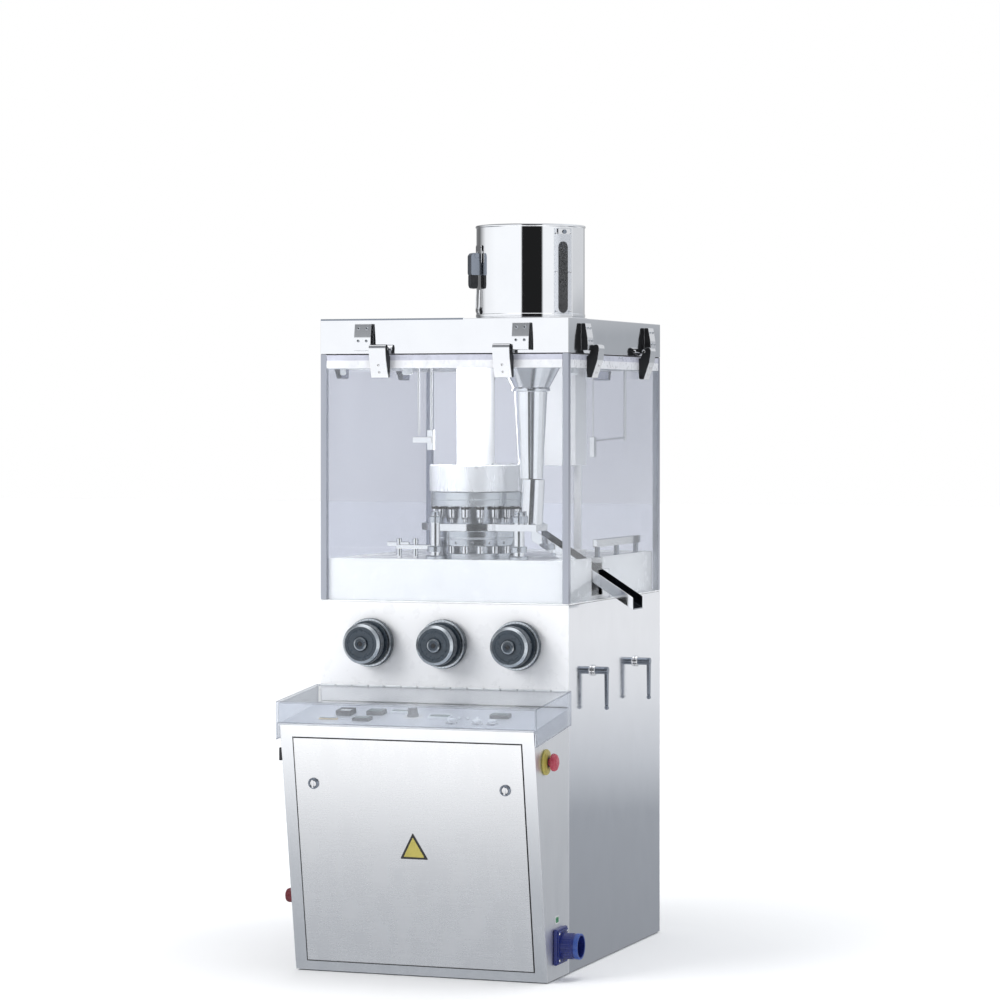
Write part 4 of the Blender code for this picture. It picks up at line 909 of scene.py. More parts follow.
def make_feed():
    work = cad_shell("feed_frame", 0.8, 2)
    for x, y in ((-58, -110.5), (139, -94)):
        at = move(x, y, 0)
        turn(work, path(0, 1030, 8, 1030, 10, 1027, 10, 1019.5, 0, 1019.5), at, 32, 1)
        knurl = path(13.2, 1019, 16.5, 1018, 17, 1016, 17, 1003, 13.2, 1002)
        turn(work, knurl, at, 40, 1, True, lambda a, r, z: r + (0.4 * math.cos(30 * a) if r > 16.8 else 0))
        turn(work, path(13.2, 950, 18.5, 949, 19, 947, 19, 936, 13.2, 935), at, 40, 1, True)
        turn(work, path(13.2, 928, 21.5, 927, 22, 925, 22, DECK_Z, 13.2, DECK_Z), at, 40, 1, True)
    for x, y in ((96, -100), (178, -100), (178, -36)):
        screw(work, move(x, y, 1000), 4.5, 1, 2)
    for turns in range(4):
        angle = math.radians(200 + 33 * turns)
        screw(work, move(math.cos(angle) * 115, math.sin(angle) * 115, 1000), 3.5, 1, 2)
    skin("feed_frame", work, ["chrome", "turned_steel", "ink"], "feed_chrome")

    work = bmesh.new()
    slab(work, (-150, -122, 942), (-45, -108, 952), bevel=2)
    slab(work, (-175, -118, 948), (-120, -112, 958), bevel=2)
    for x in (-145, -105):
        turn(work, path(0, 966, 6, 966, 6.5, 964, 6.5, DECK_Z, 0, DECK_Z), move(x, -115, 0), 24)
    piece("scraper_bar", work, ["chrome"], "root", "feed_chrome")
    work = bmesh.new()
    slab(work, (256, 90, 943), (268, 420, 961), bevel=2)
    foot = path(0, 945, 6, 945, 6, 921, 9, 920.5, 9, DECK_Z, 0, DECK_Z)
    for y in (105, 250, 400):
        turn(work, foot, move(262, y, 0), 24, 1)
    piece("rear_bar", work, ["chrome", "gunmetal"], "root", "feed_chrome")


def make_chute():
    """The channel, with its inside and its end painted darker than its sides as shade."""
    work = cad_shell("discharge_chute", 0.5, 1)
    outside, middle_y = (corner.y * MM for corner in box_of("discharge_chute")[1:])
    inside = outside - middle_y - 0.9 * MM
    # Inner walls and floor near-black, end faces in gunmetal: painted shade.
    for face in work.faces:
        off = face.calc_center_median().y - middle_y
        if abs(off) < inside and (off * face.normal.y < 0 or face.normal.z > 0.5):
            face.material_index = 1
        elif abs(face.normal.x) > 0.9:
            face.material_index = 2
    skin("discharge_chute", work, ["chute_side", "chute_inside", "gunmetal"], "chute_steel")


# Hopper

HOPPER = Vector((154, -55, 0))
SIGHT = math.radians(56)
CLAMP = math.radians(-50)
BARREL = 124  # radius of the barrel, then of the plates on it
PLATE = 127


def hopper_at(angle, distance, height):
    """Placement on the barrel: local Z points away from its axis and local X is up."""
    out = Vector((math.sin(angle), -math.cos(angle), 0))
    return facing(HOPPER + out * distance + Vector((0, 0, height)), out, (0, 0, 1))


def slot_outline(half_width, low, high, steps=10):
    """A slot with round ends; first coordinate is up, second across."""
    made = []
    for start, centre in ((-math.pi / 2, high - half_width), (math.pi / 2, low + half_width)):
        for i in range(steps + 1):
            angle = start + math.pi * i / steps
            made.append((centre + math.cos(angle) * half_width, math.sin(angle) * half_width))
    return made


def make_barrel():
    at = Matrix.Translation(HOPPER)
    work = bmesh.new()
    wall = path(
        BARREL, 1675.5, BARREL, 1470.6, 122.5, 1470.6, 122.5, 1680, 123, 1681.2, 124.2, 1681.5,
        125.4, 1680.8, 126, 1679.5, 126, 1677.9, 125.2, 1676.5)
    turn(work, wall, at, 160, 0, True)
    cutter = bmesh.new()
    extrude(cutter, slot_outline(13.5, 1480, 1642.7), -20, 20, hopper_at(SIGHT, BARREL, 0), 0)
    work = carved(work, cutter)
    bead = path(BARREL, 3.5, 125.2, 2.5, 125.2, -2.5, BARREL, -3.5)
    turn(work, bead, at @ move(0, 0, 1476), 160, 0, True)
    skin("hopper_barrel", work, ["hopper_mirror"], "hopper_steel", 30)

    refine("hopper_sight_glass", "glass_plate", "clear_acrylic", 0.4, 1, "clear_edge")
    # Near-black sheet in the sight slot: painted shade of the hopper's inside.
    work = bmesh.new()
    extrude(work, slot_outline(12.8, 1480.7, 1642), -2.2, -0.5, hopper_at(SIGHT, BARREL, 0), 0.2)
    piece("sight_slot_shade_sheet", work, ["sight_slot_painted_shade"], "root", "clear_acrylic")
    work = bmesh.new()
    for height in (1484, 1573, 1660):
        for across in (-19.5, 19.5):
            screw(work, hopper_at(SIGHT + across / 126.5, PLATE, height), 2.2, 0, 1)
    clip = hopper_at(SIGHT, PLATE, 1664)
    slab(work, (-6, -16, -2.5), (7, 16, 1), clip, 0.8)
    turn(work, path(0, 4.5, 4.5, 4, 5, 3, 5, 0.5, 0, 0.5), clip, 24, 2)
    piece("sight_glass_screws", work, ["chrome", "ink", "gunmetal"], "root", "hopper_steel")


def make_funnel():
    at = Matrix.Translation(HOPPER)
    work = bmesh.new()
    profile = path(
        BARREL, 1470.3, 129.2, 1470.3, 130, 1469.7, 130, 1468.8, 129.2, 1468.3, 120.8, 1468.3, 118, 1466,
        70.5, 1362.5, 69, 1359, 44.5, 1313.5, 42.5, 1311, 39.2, 1308, 28, 1104, 26.2, 1104, 37.2, 1309,
        40.5, 1312.5, 42.5, 1314.5, 67.5, 1361, 117, 1469)
    turn(work, profile, at, 128, 0, True)
    tube_top = 1310.5 * MM
    # The tube in the hopper steel, the cone in its darker copy: painted shade on the cone.
    for face in work.faces:
        if face.calc_center_median().z < tube_top:
            face.material_index = 1
    for angle in (0.35, math.pi + 0.35):
        out = Vector((math.sin(angle), -math.cos(angle), 0))
        seam = [HOPPER + out * r + Vector((0, 0, z)) for r, z in path(39.4, 1306, 34, 1206, 28.4, 1106)]
        pipe(work, seam, 1.2, 8)
    turn(work, path(39.1, 4, 44, 3, 45, 1, 45, -4, 39.1, -6), at @ move(0, 0, 1308.5), 96, 0, True)
    skin("hopper_funnel", work, ["funnel_painted_shade_steel", "hopper_mirror"], "hopper_steel", 25)


def make_clamp():
    """Toggle latch: the moving block and grip, then its seat, wire loop and hook on the barrel."""
    work = bmesh.new()
    up = Vector((0, 0, 1))
    out = Vector((math.sin(CLAMP), -math.cos(CLAMP), 0))
    at = Matrix.Translation(HOPPER) @ Matrix((up, out, up.cross(out))).transposed().to_4x4()
    block = path(1567.5, 127.5, 1567.5, 147.8, 1572, 149, 1612, 149, 1618, 144, 1618, 127.5)
    extrude(work, fillet(block, 2, 3, True), -12, 12, at, 1)
    grip = path(1536.5, 133, 1538, 146, 1545, 148.5, 1568.5, 148.5, 1568.5, 131, 1545, 131)
    extrude(work, fillet(grip, 3, 3, True), -10, 10, at, 1.5, 1)
    turn(work, both_ends(0, 13.5, 5.2, 13.5, 6, 12.5), at @ move(1612, 134.5, 0), 32)
    skin("hopper_clamp", work, ["gunmetal", "wheel_black"], "hopper_steel")

    work = bmesh.new()
    slab(work, (1596, 124.2, -18), (1634, PLATE, -14), at, 0.8)
    slab(work, (1596, 124.2, 14), (1634, PLATE, 18), at, 0.8)
    slab(work, (1622, 124.2, -16), (1636, 127.2, 16), at, 0.8)
    for height in (1600, 1630):
        for way in (-16, 16):
            screw(work, hopper_at(CLAMP - way / PLATE, PLATE, height), 2.2, 1, 2)
    wire = [(1534, 127.5, 10), (1515, 128.5, 10.2), (1498, 129, 10), (1486, 129, 7), (1483, 129, 0)]
    loop = [(x, y, -z) for x, y, z in wire] + wire[-2::-1]
    pipe(work, curve_through([at @ Vector(p) for p in loop], 5), 1.3, 10)
    hook = path(1478, 124.2, 1478, 127.5, 1486, 131, 1492, 130.8, 1492, PLATE, 1496, 124.2)
    extrude(work, fillet(hook, 1, 2, True), -8, 8, at, 0.6)
    piece("hopper_clamp_seat", work, ["chrome", "turned_steel", "ink"], "root", "hopper_steel")


# Console


def make_handwheel(side):
    node = "handwheel_" + side
    mid = box_of(node)[2]
    at = facing((mid.x, FACE_Y, mid.z), (0, -1, 0), (0, 0, 1))
    work = bmesh.new()

    def knurl(a, r, z):
        return r - (0.7 * (0.5 + 0.5 * math.cos(72 * a)) if r > 55.6 else 0)

    dial = path(12, 8.5, 52, 8.5, 56, 11, 56, 22.5, 54.5, 26.2, 50, 27, 12, 27)
    turn(work, fillet(dial, 0.8, 2), at, 240, 0, True, knurl)
    turn(work, path(44, 27.2, 54, 26.8, 54.6, 26.2, 44, 26.2), at, 120, 2, True)
    # This ring and the hoop below it are black in the grooves: painted shade.
    turn(work, path(12, 31.5, 37.5, 31.5, 38, 31, 38, 26.8, 12, 26.8), at, 96, 1, True)
    turn(work, path(12, 33, 49, 33, 50, 33.5, 50, 36.5, 49, 37, 12, 37), at, 120, 0, True)
    hoop(work, 12, 38.5, 42, 36, at, 96, 1)
    disc_face = path(
        0, 72.5, 17, 72.5, 17.5, 73.5, 30, 73.7, 30.6, 73, 31.8, 73, 32.4, 73.8, 38.5, 74, 44.5, 69.5,
        46, 66.8, 46, 47, 45, 44, 40, 41.8, 0, 41.8)
    turn(work, fillet(disc_face, 0.6, 2), at, 160)
    # Bright metal ring on the disc's chamfer: painted highlight.
    turn(work, path(38.6, 74.2, 39.2, 74.4, 44.6, 70, 44.4, 69.2, 38.6, 73.6), at, 160, 2, True)
    cap = path(0, 77.5, 6, 77.5, 6.2, 79, 12.5, 80, 15, 78, 15.5, 73, 0, 73)
    turn(work, fillet(cap, 0.6, 2), at, 64)
    # Bright metal ring on the cap's chamfer: painted highlight.
    turn(work, path(11.8, 80.2, 14.8, 78.6, 15, 77.8, 11.8, 77.8), at, 64, 2, True)
    disc(work, 5.2, 79, 77.5, at, 6, 1)
    turn(work, path(0, 43, 12, 43, 12, -29, 11, -30, 0, -30), at, 48, 3)
    for count in range(40):
        long = 2.6 if count % 4 else 4.5
        tick = at @ spin(2 * math.pi * count / 40)
        slab(work, (53.8 - long, -0.25, 27.1), (53.8, 0.25, 27.35), tick, 0, 4)
        if count % 4 == 0:
            number = tick @ move(47.2, 0, 27.4) @ spin(-math.pi / 2)
            glyphs(work, str(count // 4), 3.8, number, 0.3, 4)
    skin(node, work, ["wheel_dark", "wheel_black", "wheel_ring", "turned_steel", "ink"], "wheel_dark")


def panel_spot(x, y):
    """Placement on the control panel: local Z is its normal, local X is +X."""
    height = 562.5 + (y + 450) * (32.5 / 238.8)
    return facing((x, y, height), (0, -0.1349, 0.9909), (1, 0, 0))


def make_ammeter():
    at = panel_spot(-185, -340)
    work = bmesh.new()
    slab(work, (-18, -18, 0.3), (18, 18, 8), at, 1.2)
    bezel = ((-18, -18, 18, -15), (-18, 15, 18, 18), (-18, -15, -15, 15), (15, -15, 18, 15))
    slabs(work, bezel, 7.8, 12, at, 0.8)
    slab(work, (-15, -15, 7.9), (15, 15, 8.8), at, 0, 1)
    hub = at @ move(0, -8.5, 0)
    for count in range(11):
        tick = hub @ spin(math.radians(45 + 9 * count))
        slab(work, (17.5 if count % 5 else 16.5, -0.2, 8.8), (19.5, 0.2, 9), tick, 0, 2)
    slab(work, (-2, -0.3, 9.2), (17, 0.3, 9.5), hub @ spin(math.radians(112)), 0, 3)
    slab(work, (-15, -15, 8.9), (15, -7, 10.5), at, 0.5)
    turn(work, path(0, 11, 2, 11, 2.2, 10.5, 0, 10.5), hub, 16, 4)
    skin("ammeter", work, ["black_plastic", "dial_white", "ink", "red", "chrome"], "black_plastic")


def make_speed_knob():
    at = panel_spot(-22, -345)
    work = bmesh.new()

    def grip(a, r, z):
        return r - (0.6 * (0.5 + 0.5 * math.cos(24 * a)) if 10 < r < 12.5 else 0)

    knob = path(0, 21.5, 9.5, 21.5, 10.5, 20.5, 11.5, 7, 13, 5, 13, 0.8, 0, 0.8)
    turn(work, fillet(knob, 0.8, 2), at, 120, 0, False, grip)
    turn(work, path(0, 22.2, 8.5, 22, 8.8, 21.3, 0, 21.3), at, 48, 1)
    slab(work, (-0.4, 2, 21.9), (0.4, 9.5, 22.3), at, 0, 2)
    disc(work, 5.8, 1, -6, at, 24, 1)
    skin("speed_knob", work, ["black_plastic", "chrome", "dial_white"], "black_plastic")
    work = bmesh.new()
    turn(work, path(0, 0.6, 23, 0.6, 23.5, 0.4, 23.5, 0.1, 0, 0.1), at, 64)
    for count in range(11):
        angle = math.radians(-45 + 27 * count)
        tick = at @ spin(angle)
        slab(work, (14.5, -0.3, 0.6), (18, 0.3, 0.8), tick, 0, 1)
        glyphs(work, str(10 - count), 3.4, tick @ move(20.5, 0, 0.8) @ spin(-angle), 0.2, 1)
    piece("speed_dial", work, ["dial_white", "ink"], "root", "pale_plastic")


def make_button(node, x, lens):
    at = panel_spot(x, -400)
    work = bmesh.new()
    turn(work, fillet(path(0, 12, 8, 11.8, 9.2, 10.5, 9.2, 4.2, 0, 4.2), 0.8, 2), at, 64, 0)
    turn(work, path(8.8, 8.5, 10.2, 8, 10.5, 7.2, 10.5, 4.2, 8.8, 4.2), at, 64, 1, True)
    disc(work, 5.8, 4.5, -6, at, 24, 1)
    skin(node, work, ["pale_plastic", "chrome"], "pale_plastic")
    work = bmesh.new()
    turn(work, path(11.2, 3.4, 13.5, 3, 14.2, 1.8, 14.2, 0.2, 11.2, 0.2), at, 64, 0, True)
    turn(work, path(0, 1.2, 3, 1.2, 3.2, 0.8, 3.2, 0.1, 0, 0.1), at @ move(0, 20.5, 0), 24, 1)
    piece(node + "_bezel", work, ["chrome", lens], "root", "pale_plastic")


def make_controls():
    make_ammeter()
    make_speed_knob()
    make_button("inch_button", 90, "dial_white")
    make_button("stop_button", 150, "red")
    make_button("start_button", 186, "green")
    work = bmesh.new()
    for x, y, wide, deep, rise, mat in (
        (-115, -330, 19, 16, 10, 0), (-125, -392, 20, 13, 7, 0), (-62, -312, 24, 10, 6, 2),
        (45, -352, 26, 14, 6, 2), (180, -330, 22, 12, 9, 0), (-205, -395, 22, 4, 4, 3),
    ):
        at = panel_spot(x, y)
        slabs(work, [(-wide, -deep, wide, deep)], 0.2, rise, at, 1, mat)
        face = (3 - wide, -deep * 0.72, wide - 3, deep * 0.72)
        slabs(work, [face], rise - 0.6, rise + 0.4, at, 0.2, 1)
    looks = ["black_plastic", "screen", "pale_plastic", "brass"]
    piece("panel_instruments", work, looks, "root", "black_plastic")
    work = bmesh.new()
    for x in (90, 112, 134):
        at = panel_spot(x, -352)
        turn(work, path(0, 6, 3.5, 5.2, 4.6, 3, 4.6, 0.2, 0, 0.2), at, 32, 1)
        turn(work, path(4.7, 2.4, 6.2, 2, 6.4, 0.2, 4.7, 0.2), at, 32, 0, True)
    piece("panel_lamps", work, ["chrome", "pale_plastic"], "root", "pale_plastic")


def make_hood():
    hood = refine("console_cover", "clear_hood", "clear_acrylic", 1.2, 2, "hood_edge")
    hood.data.materials.append(LOOKS["clear_front"])
    # The hood's top faces in the clearer pane acrylic, its walls in a greyer copy: painted shade on the
    # walls.
    for face in hood.data.polygons:
        if abs(face.normal.z) > 0.9 and face.area > 0.02:
            face.material_index = 2
    work = bmesh.new()
    slab(work, (-290, -215.2, 635), (290, -214.2, 643), bevel=0.3)
    for count in range(9):
        screw(work, facing((-272 + 68 * count, -215.2, 639.5), (0, -1, 0)), 1.5, 0, 1)
    piece("hood_hinge_strip", work, ["band_enamel", "turned_steel"], "root", "hinge_chrome")
    work = bmesh.new()
    for count in range(15):
        pin = facing((-280 + 40 * count, -219, 633), (1, 0, 0))
        turn(work, both_ends(0, 18, 2, 18, 2.4, 17), pin, 20)
    piece("hood_hinge_pins", work, ["pale_plastic"], "console_cover", "hinge_chrome")


def make_door():
    refine("front_door", "door_steel", "console_steel", 1, 2)
    work = bmesh.new()
    at = door_at(3, 301, 1.2)
    tall, half = 30, 33
    extrude(work, fillet(path(-half, -tall, half, -tall, 0, tall), 3, 4, True), 0, 0.6, at, 0.2, 1)
    side, foot = half - 8.5, 4.8 - tall
    extrude(work, fillet(path(-side, foot, side, foot, 0, tall - 10), 2, 3, True), 0.4, 0.9, at, 0.1, 0)
    piece("door_triangle", work, ["yellow", "ink"], "front_door", "yellow_plastic")
    make_lock("door_lock_left", -226.5)
    make_lock("door_lock_right", 226.5)


def make_lock(node, x):
    """Bezel, barrel, key bar and cam of a quarter-turn lock."""
    at = door_at(x, 436)
    work = bmesh.new()
    bezel = path(9, 6.2, 10.5, 6.4, 12.5, 4.5, 12.5, 1.3, 7, 1.3, 7, 4)
    turn(work, fillet(bezel, 0.6, 2, True), at, 64, 2, True)
    turn(work, path(0, 4.6, 8.5, 4.4, 9, 4, 9, -12, 0, -12), at, 48, 0)
    hoop(work, 7.2, 8.6, 5, 4.2, at, 48, 1)
    slab(work, (-2.2, -9, 4), (2.2, 9, 9.5), at, 1)
    slab(work, (-6, -7, -11.5), (6, 24, -8.5), at, 0.8)
    skin(node, work, ["chrome", "ink", "gunmetal"], "hinge_chrome")


def make_side_handle(side):
    node = "side_handle_" + side
    at = side_at(box_of(node)[2].y, 668)
    work = bmesh.new()
    turn(work, fillet(path(0, 37.2, 7, 37.2, 8.5, 36, 8.5, -12, 0, -12), 1, 2), at, 48)
    turn(work, fillet(path(8.6, 7.5, 11.5, 7, 12.5, 4.5, 12.5, 0.3, 8.6, 0.3), 1, 2), at, 48, 1, True)
    blade = path(7.5, -7, 7.5, 7, -10, 6.2, -80, 3.6, -80, -3.6, -10, -6.2)
    extrude(work, fillet(blade, 3, 4, True), 29, 36.6, at, 1.4, 0, 3)
    arc = [math.radians(degrees) for degrees in range(15, 180, 15)]
    ball = [(0, 5.2)] + [(5.2 * math.sin(a), 5.2 * math.cos(a)) for a in arc] + [(0, -5.2)]
    turn(work, ball, at @ move(-84.5, 0, 32.8), 24)
    slab(work, (-26, -6, -11.5), (0, 6, -8), at, 0.8)
    skin(node, work, ["gunmetal", "chrome"], "hinge_chrome")


def make_estop():
    at = side_at(-374, 489)
    work = bmesh.new()
    base = path(9, 0.3, 27.5, 0.3, 28.5, 1.5, 28.5, 4, 27, 6, 20, 7.2, 17.5, 8.8, 15, 9.2, 11.5, 9, 9, 8.5)
    turn(work, fillet(base, 1, 2, True), at, 72, 0, True)
    hoop(work, 9, 10.8, 9.2, 6, at, 48, 1)
    skin("estop_base", work, ["yellow", "black_plastic"], "yellow_plastic")
    work = bmesh.new()

    def grip(a, r, z):
        return r - (0.5 * (0.5 + 0.5 * math.cos(36 * a)) if r > 19 else 0)

    head = path(0, 30, 11, 29.3, 17.5, 26.2, 19.5, 22.5, 19.5, 18, 18, 16, 11, 14, 8, 13.5, 8, 0.6, 0, 0.6)
    turn(work, fillet(head, 1.2, 3), at, 96, 0, False, grip)
    skin("estop_button", work, ["red"], "red_plastic")


def make_inlet():
    at = side_at(-284, 75)
    work = bmesh.new()
    slab(work, (-40, -37.5, 0.3), (40, 37.5, 9.5), at, 4, 0, 4)
    slab(work, (-35, -32.5, 9), (35, 32.5, 12), at, 2, 0, 3)

    def ribs(a, r, z):
        return r + (0.4 * math.cos(30 * a) if r > 28 and z < 37.2 else 0)

    barrel = path(
        24, 16, 24, 53, 27, 53, 28.5, 51.5, 28.5, 42, 27.5, 41, 27.5, 38, 28.5, 37, 28.5, 12, 1, 12, 1, 16)
    turn(work, barrel, at, 120, 0, True, ribs)
    turn(work, path(24.1, 52.8, 27.5, 53.4, 28.7, 52.2, 28.9, 44, 28.6, 43, 24.1, 50), at, 96, 1, True)
    disc(work, 23.9, 16.5, 12, at, 64, 2)
    for angle in (90, 210, 330):
        spot = at @ spin(math.radians(angle)) @ move(13.5, 0, 0)
        turn(work, path(0, 42, 2, 41, 2.6, 39.5, 2.6, 16, 0, 16), spot, 20, 3)
    for u in (-29, 29):
        for v in (-26.5, 26.5):
            screw(work, at @ move(u, v, 11.8), 3.4, 4, 5)
    looks = ["blue", "blue_light", "black_plastic", "brass", "chrome", "ink"]
    skin("power_inlet", work, looks, "inlet_blue")
    work = bmesh.new()
    at = side_at(-294, 133)
    slab(work, (-8, -12, 0.1), (8, 12, 0.5), at, 0.1, 0)
    slab(work, (-6, -10, 0.5), (6, 10, 0.6), at, 0, 1)
    piece("inlet_label_plate", work, ["dial_white", "green"], "root", "pale_plastic")


def make_main_switch():
    at = facing((-SIDE_X, -364, 169), (-1, 0, 0), (0, 0, 1))
    work = bmesh.new()

    def grip(a, r, z):
        return r - (0.9 * (0.5 + 0.5 * math.cos(18 * a)) if r > 14.5 else 0)

    profile = path(0, 18.8, 12.5, 18.8, 15, 16.5, 16, 13.5, 16, 0.3, 0, 0.3)
    turn(work, fillet(profile, 1, 3), at, 96, 0, False, grip)
    slab(work, (-13, -2.2, 18), (13, 2.2, 19), at, 0.6, 0)
    slab(work, (6, -0.6, 18.8), (12, 0.6, 19.15), at, 0, 1)
    knob = "main_switch_knob"
    piece("main_switch_skin", work, ["maroon", "dial_white"], knob, "maroon_plastic", knob)


def make_catches():
    work = bmesh.new()
    slab(work, (-SIDE_X - 6.5, -440, 479), (-SIDE_X - 0.2, -428, 508), bevel=1.5)
    piece("left_catch", work, ["black_plastic"], "root", "black_plastic")
    work = bmesh.new()
    slab(work, (SIDE_X + 0.3, -444.5, 528), (SIDE_X + 3.5, -436, 556), bevel=0.8)
    slab(work, (-SIDE_X - 3.5, -444.5, 528), (-SIDE_X - 0.3, -436, 556), bevel=0.8)
    piece("hood_catches", work, ["chrome"], "root", "hinge_chrome")


# Drive, seen with the door or the side panel off


def make_motor():
    at = facing((0, 330, 115), (1, 0, 0), (0, 0, 1))

    def fins(a, r, z):
        return r - (6 * (0.5 + 0.5 * math.tanh(4 * math.cos(44 * a))) if 69 < r < 70.5 else 0)

    work = bmesh.new()
    body = path(
        0, 120, 56, 120, 62, 118, 68, 106, 68.5, 72, 66, 70, 66, 69, 70, 68, 70, -68, 64, -70, 64, -72,
        68, -74, 68, -90, 45, -98, 30, -105, 0, -105)
    turn(work, body, at, 352, 0, False, fins)
    slab(work, (-94.7, -65, -80), (-82, 65, 90), at, 2, 0)
    slab(work, (-83, -45, -70), (-53, -30, 80), at, 2, 0)
    slab(work, (-83, 30, -70), (-53, 45, 80), at, 2, 0)
    slab(work, (55, -35, -20), (94, 35, 60), at, 3, 0)
    slab(work, (93.5, -32, -17), (100, 32, 57), at, 2, 0)
    for across, aside, height, radius in (((-68, 78), 56, 33, 6), ((-12, 52), 26, 215, 3.2)):
        for u in across:
            for v in (-aside, aside):
                screw(work, facing((u, 330 + v, height), (0, 0, 1)), radius, 1, 2)
    skin("motor", work, ["motor_grey", "turned_steel", "ink"], "motor_paint")


def groove(radius):
    """A belt groove in a pulley's rim."""
    root = radius - 8
    return both_ends(radius - 1, 12, radius, 11, radius, 9.5, root, 6)


def make_drive():
    make_motor()
    left = facing((-170, 330, 115), (-1, 0, 0), (0, 0, 1))
    work = bmesh.new()
    pulley = path(0, 13, 10, 13, 11, 12) + groove(35) + path(10, -12, 10, -64.5, 0, -64.5)
    turn(work, pulley, left, 96)
    screw(work, left @ move(0, 0, 13), 5, 1)
    skin("motor_pulley", work, ["cast_iron", "turned_steel"], "pulley_iron")

    left = facing((-170, 133.5, 450), (-1, 0, 0), (0, 0, 1))
    worm = path(0, 29.7, 12, 29.7, 12, 12, 62, 12) + groove(70)[1:]
    worm += path(62, -8, 28, -6, 26, -16, 12, -17, 12, -119, 20, -119.5)
    for count in range(13):
        height = -122 - count * 8
        worm += path(22, height, 22, height - 2.5, 17, height - 4.5, 17, height - 6.5)
    worm += path(20, -221.5, 12, -222, 12, -369.7, 0, -369.7)
    work = bmesh.new()
    turn(work, worm, left, 96)
    for spot, angle in round_about(5, 44, 12):
        turn(work, path(0, 0.6, 9, 0.6, 9.5, -1, 0, -1), left @ Matrix.Translation(spot), 24, 1)
    skin("worm_shaft", work, ["turned_steel", "cast_iron"], "press_steel")
    refine("drive_belt", "rubber", "belt_rubber")


# Studio


def grey(level, tint=0.0):
    return (level * (1 - tint), level * (1 - tint * 0.6), level)


def card(name, corners, stops):
    """A glowing sheet that only reflections see; stops are height, brightness and tint."""
    made = bpy.data.materials.new(name)
    made.use_nodes = True
    tree = made.node_tree
    tree.nodes.remove(tree.nodes["Principled BSDF"])
    nodes = Nodes(tree)
    mesh = bpy.data.meshes.new(name)
    mesh.from_pydata([Vector(c) for c in corners], [], [(0, 1, 2, 3)])
    mesh.materials.append(made)
    obj = add_object(name, mesh)
    height = nodes.node("SeparateXYZ", {0: nodes.node("TexCoord").outputs["Object"]}).outputs["Z"]
    share = nodes.span(height, stops[0][0], stops[-1][0])
    colour = nodes.ramp(share, [(place, grey(*level)) for place, *level in stops])
    glow = nodes.node("Emission", {"Color": colour, "Strength": 1.0}).outputs[0]
    tree.links.new(glow, tree.nodes["Material Output"].inputs["Surface"])
    obj.visible_camera = False
    obj.visible_diffuse = False
    obj.visible_shadow = False
    obj.visible_transmission = False


def make_world():
    """White to the camera; to reflections a ring of light and dark, with a bright ceiling."""
    world = bpy.data.worlds.new("studio")
    SCENE.world = world
    world.use_nodes = True
    world.node_tree.nodes.clear()
    nodes = Nodes(world.node_tree)
    parts = nodes.node("SeparateXYZ", {0: nodes.node("TexCoord").outputs["Generated"]}).outputs
    back = nodes.sum("MULTIPLY", parts["Y"], -1.0)
    round_by = nodes.span(nodes.sum("ARCTAN2", parts["X"], back), -math.pi, math.pi)
    level_at = path(
        -180, 0.50, -150, 0.42, -138, 0.20, -118, 0.16, -92, 0.95, -60, 1.06, -2, 1.06, -0.5, 1.0, 1.5, 0.015,
        43, 0.015, 46, 1.0, 76, 1.0, 88, 0.78, 120, 0.80, 140, 0.66, 155, 0.58, 180, 0.50)
    around = nodes.ramp(round_by, [(angle, grey(level, 0.05)) for angle, level in level_at])
    level_at = path(
        -180, 0.70, -150, 0.40, -100, 0.34, -60, 0.26, 10, 0.26, 30, 0.35, 70, 0.60, 110, 0.95, 170, 1.0,
        180, 0.70)
    ring = nodes.ramp(round_by, [(angle, grey(level, 0.10)) for angle, level in level_at])
    lower = nodes.mix(nodes.span(parts["Z"], 0.22, 0.34), around, ring)
    studio = nodes.mix(nodes.span(parts["Z"], 0.80, 0.90), lower, (1.4, 1.41, 1.43, 1))
    seen = nodes.node("LightPath").outputs["Is Camera Ray"]
    picked = nodes.mix(seen, studio, (1.0, 1.0, 1.0, 1))
    background = nodes.node("Background", {"Color": picked, "Strength": 1.0})
    nodes.node("OutputWorld", {"Surface": background.outputs[0]})


def make_light(name, place, target, wide, high, power):
    data = bpy.data.lights.new(name, "AREA")
    data.shape = "RECTANGLE"
    data.size = wide
    data.size_y = high
    data.energy = power
    obj = add_object(name, data)
    obj.location = place
    obj.rotation_euler = (Vector(target) - Vector(place)).to_track_quat("-Z", "Y").to_euler()
    obj.visible_glossy = False


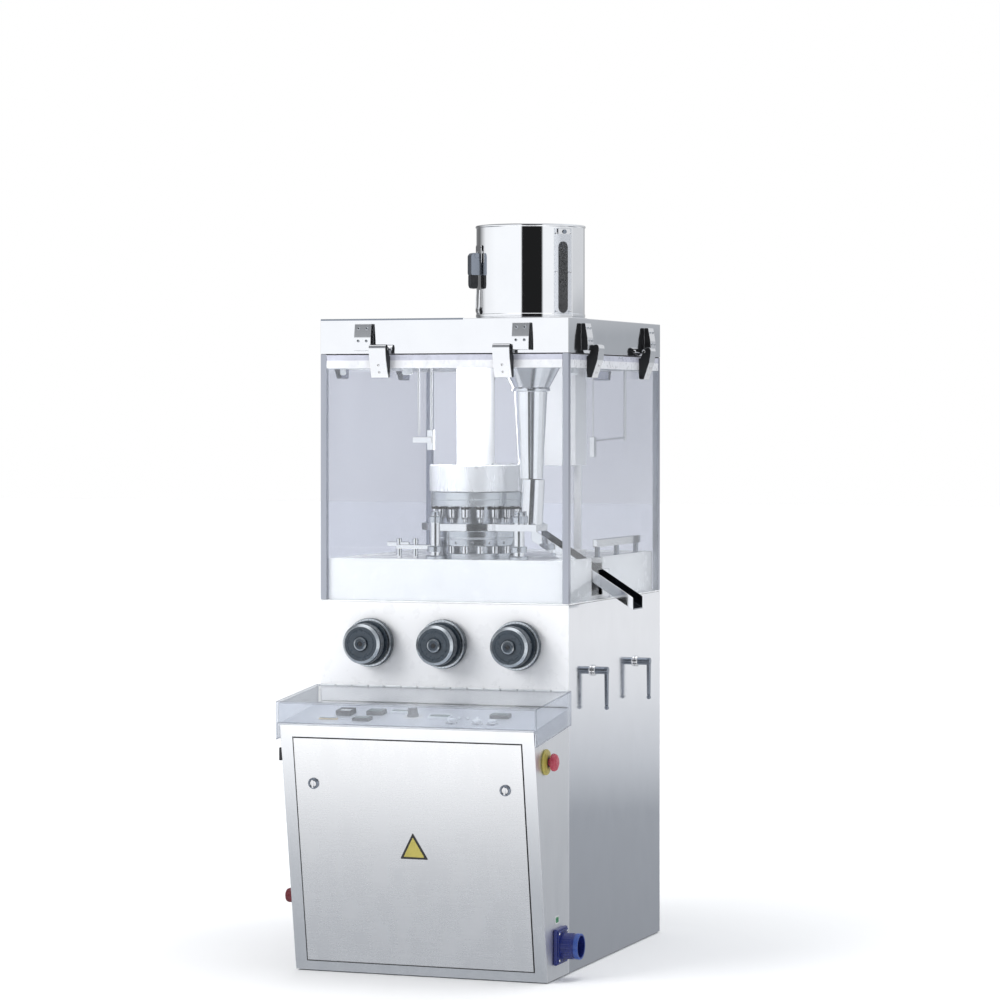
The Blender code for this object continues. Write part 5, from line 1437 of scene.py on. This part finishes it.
def make_floor():
    """White paper that glows softly with distance, so that it meets the white background."""
    work = bmesh.new()
    bmesh.ops.create_grid(work, x_segments=1, y_segments=1, size=40.0)
    mesh = new_mesh("floor", work)
    look = Look("floor_paper", (0.93, 0.93, 0.93), 0.9, Emission_Color=(1, 1, 1, 1))
    far = look.node("VectorMath", {0: look.coords}, operation="LENGTH").outputs["Value"]
    look.tree.links.new(look.span(far, 0.7, 2.4, 0.0, 0.38), look.surface.inputs["Emission Strength"])
    look.tint(look.noise(2.0), 0.995, 1.005)
    mesh.materials.append(look.done())
    floor = add_object("floor", mesh)
    floor.visible_glossy = False


def make_studio():
    make_world()
    make_floor()
    make_light("key", (-2.4, -3.4, 2.7), (0, 0, 0.8), 2.6, 2.2, 115)
    make_light("top", (0.3, 0.3, 3.6), (0, 0.1, 0.5), 2.4, 2.4, 40)
    make_light("chamber", (-0.05, -0.13, 1.362), (0.0, 0.05, 1.0), 0.34, 0.08, 2.0)
    corners = [(-3.0, -1.45, -0.9), (2.0, -1.45, -0.9), (2.0, -1.45, 0.32), (-3.0, -1.45, 0.32)]
    card("door_card", corners, [
        (-0.60, 0.43, 0.11), (-0.42, 0.51, 0.11), (-0.20, 0.64, 0.06), (0.00, 1.04, 0.03),
        (0.16, 1.45), (0.30, 1.45)])
    corners = [(0.55, 2.2, -0.8), (3.0, 1.5, -0.8), (3.0, 1.5, 2.6), (0.55, 2.2, 2.6)]
    card("right_card", corners, [
        (-0.35, 0.34, 0.14), (0.10, 0.40, 0.14), (0.25, 0.62, 0.10), (0.45, 0.80, 0.06), (0.60, 0.86, 0.04),
        (0.75, 0.86, 0.04), (0.90, 0.74, 0.05), (1.20, 0.46, 0.10), (1.48, 0.42, 0.12), (1.64, 0.70, 0.06),
        (2.10, 0.74, 0.06)])


def make_camera():
    data = bpy.data.cameras.new("camera")
    data.sensor_width = 36.0
    data.lens = 127.17
    data.shift_y = -0.0841
    data.clip_end = 100.0
    camera = add_object("camera", data)
    camera.location = (2.8235, -7.6887, 1.2475)
    camera.rotation_euler = (math.radians(90), 0, math.radians(19.77))
    SCENE.camera = camera
    SCENE.view_settings.view_transform = "Standard"
    SCENE.view_settings.look = "None"


make_camera()
make_housing()
make_table_gasket()
for side_name in SIDES:
    make_window(side_name)
make_stays()
make_press()
make_feed()
make_chute()
make_barrel()
make_funnel()
make_clamp()
for side_name in ("left", "middle", "right"):
    make_handwheel(side_name)
make_controls()
make_hood()
make_door()
for side_name in ("front", "rear"):
    make_side_handle(side_name)
make_estop()
make_inlet()
make_main_switch()
make_catches()
make_drive()
make_studio()
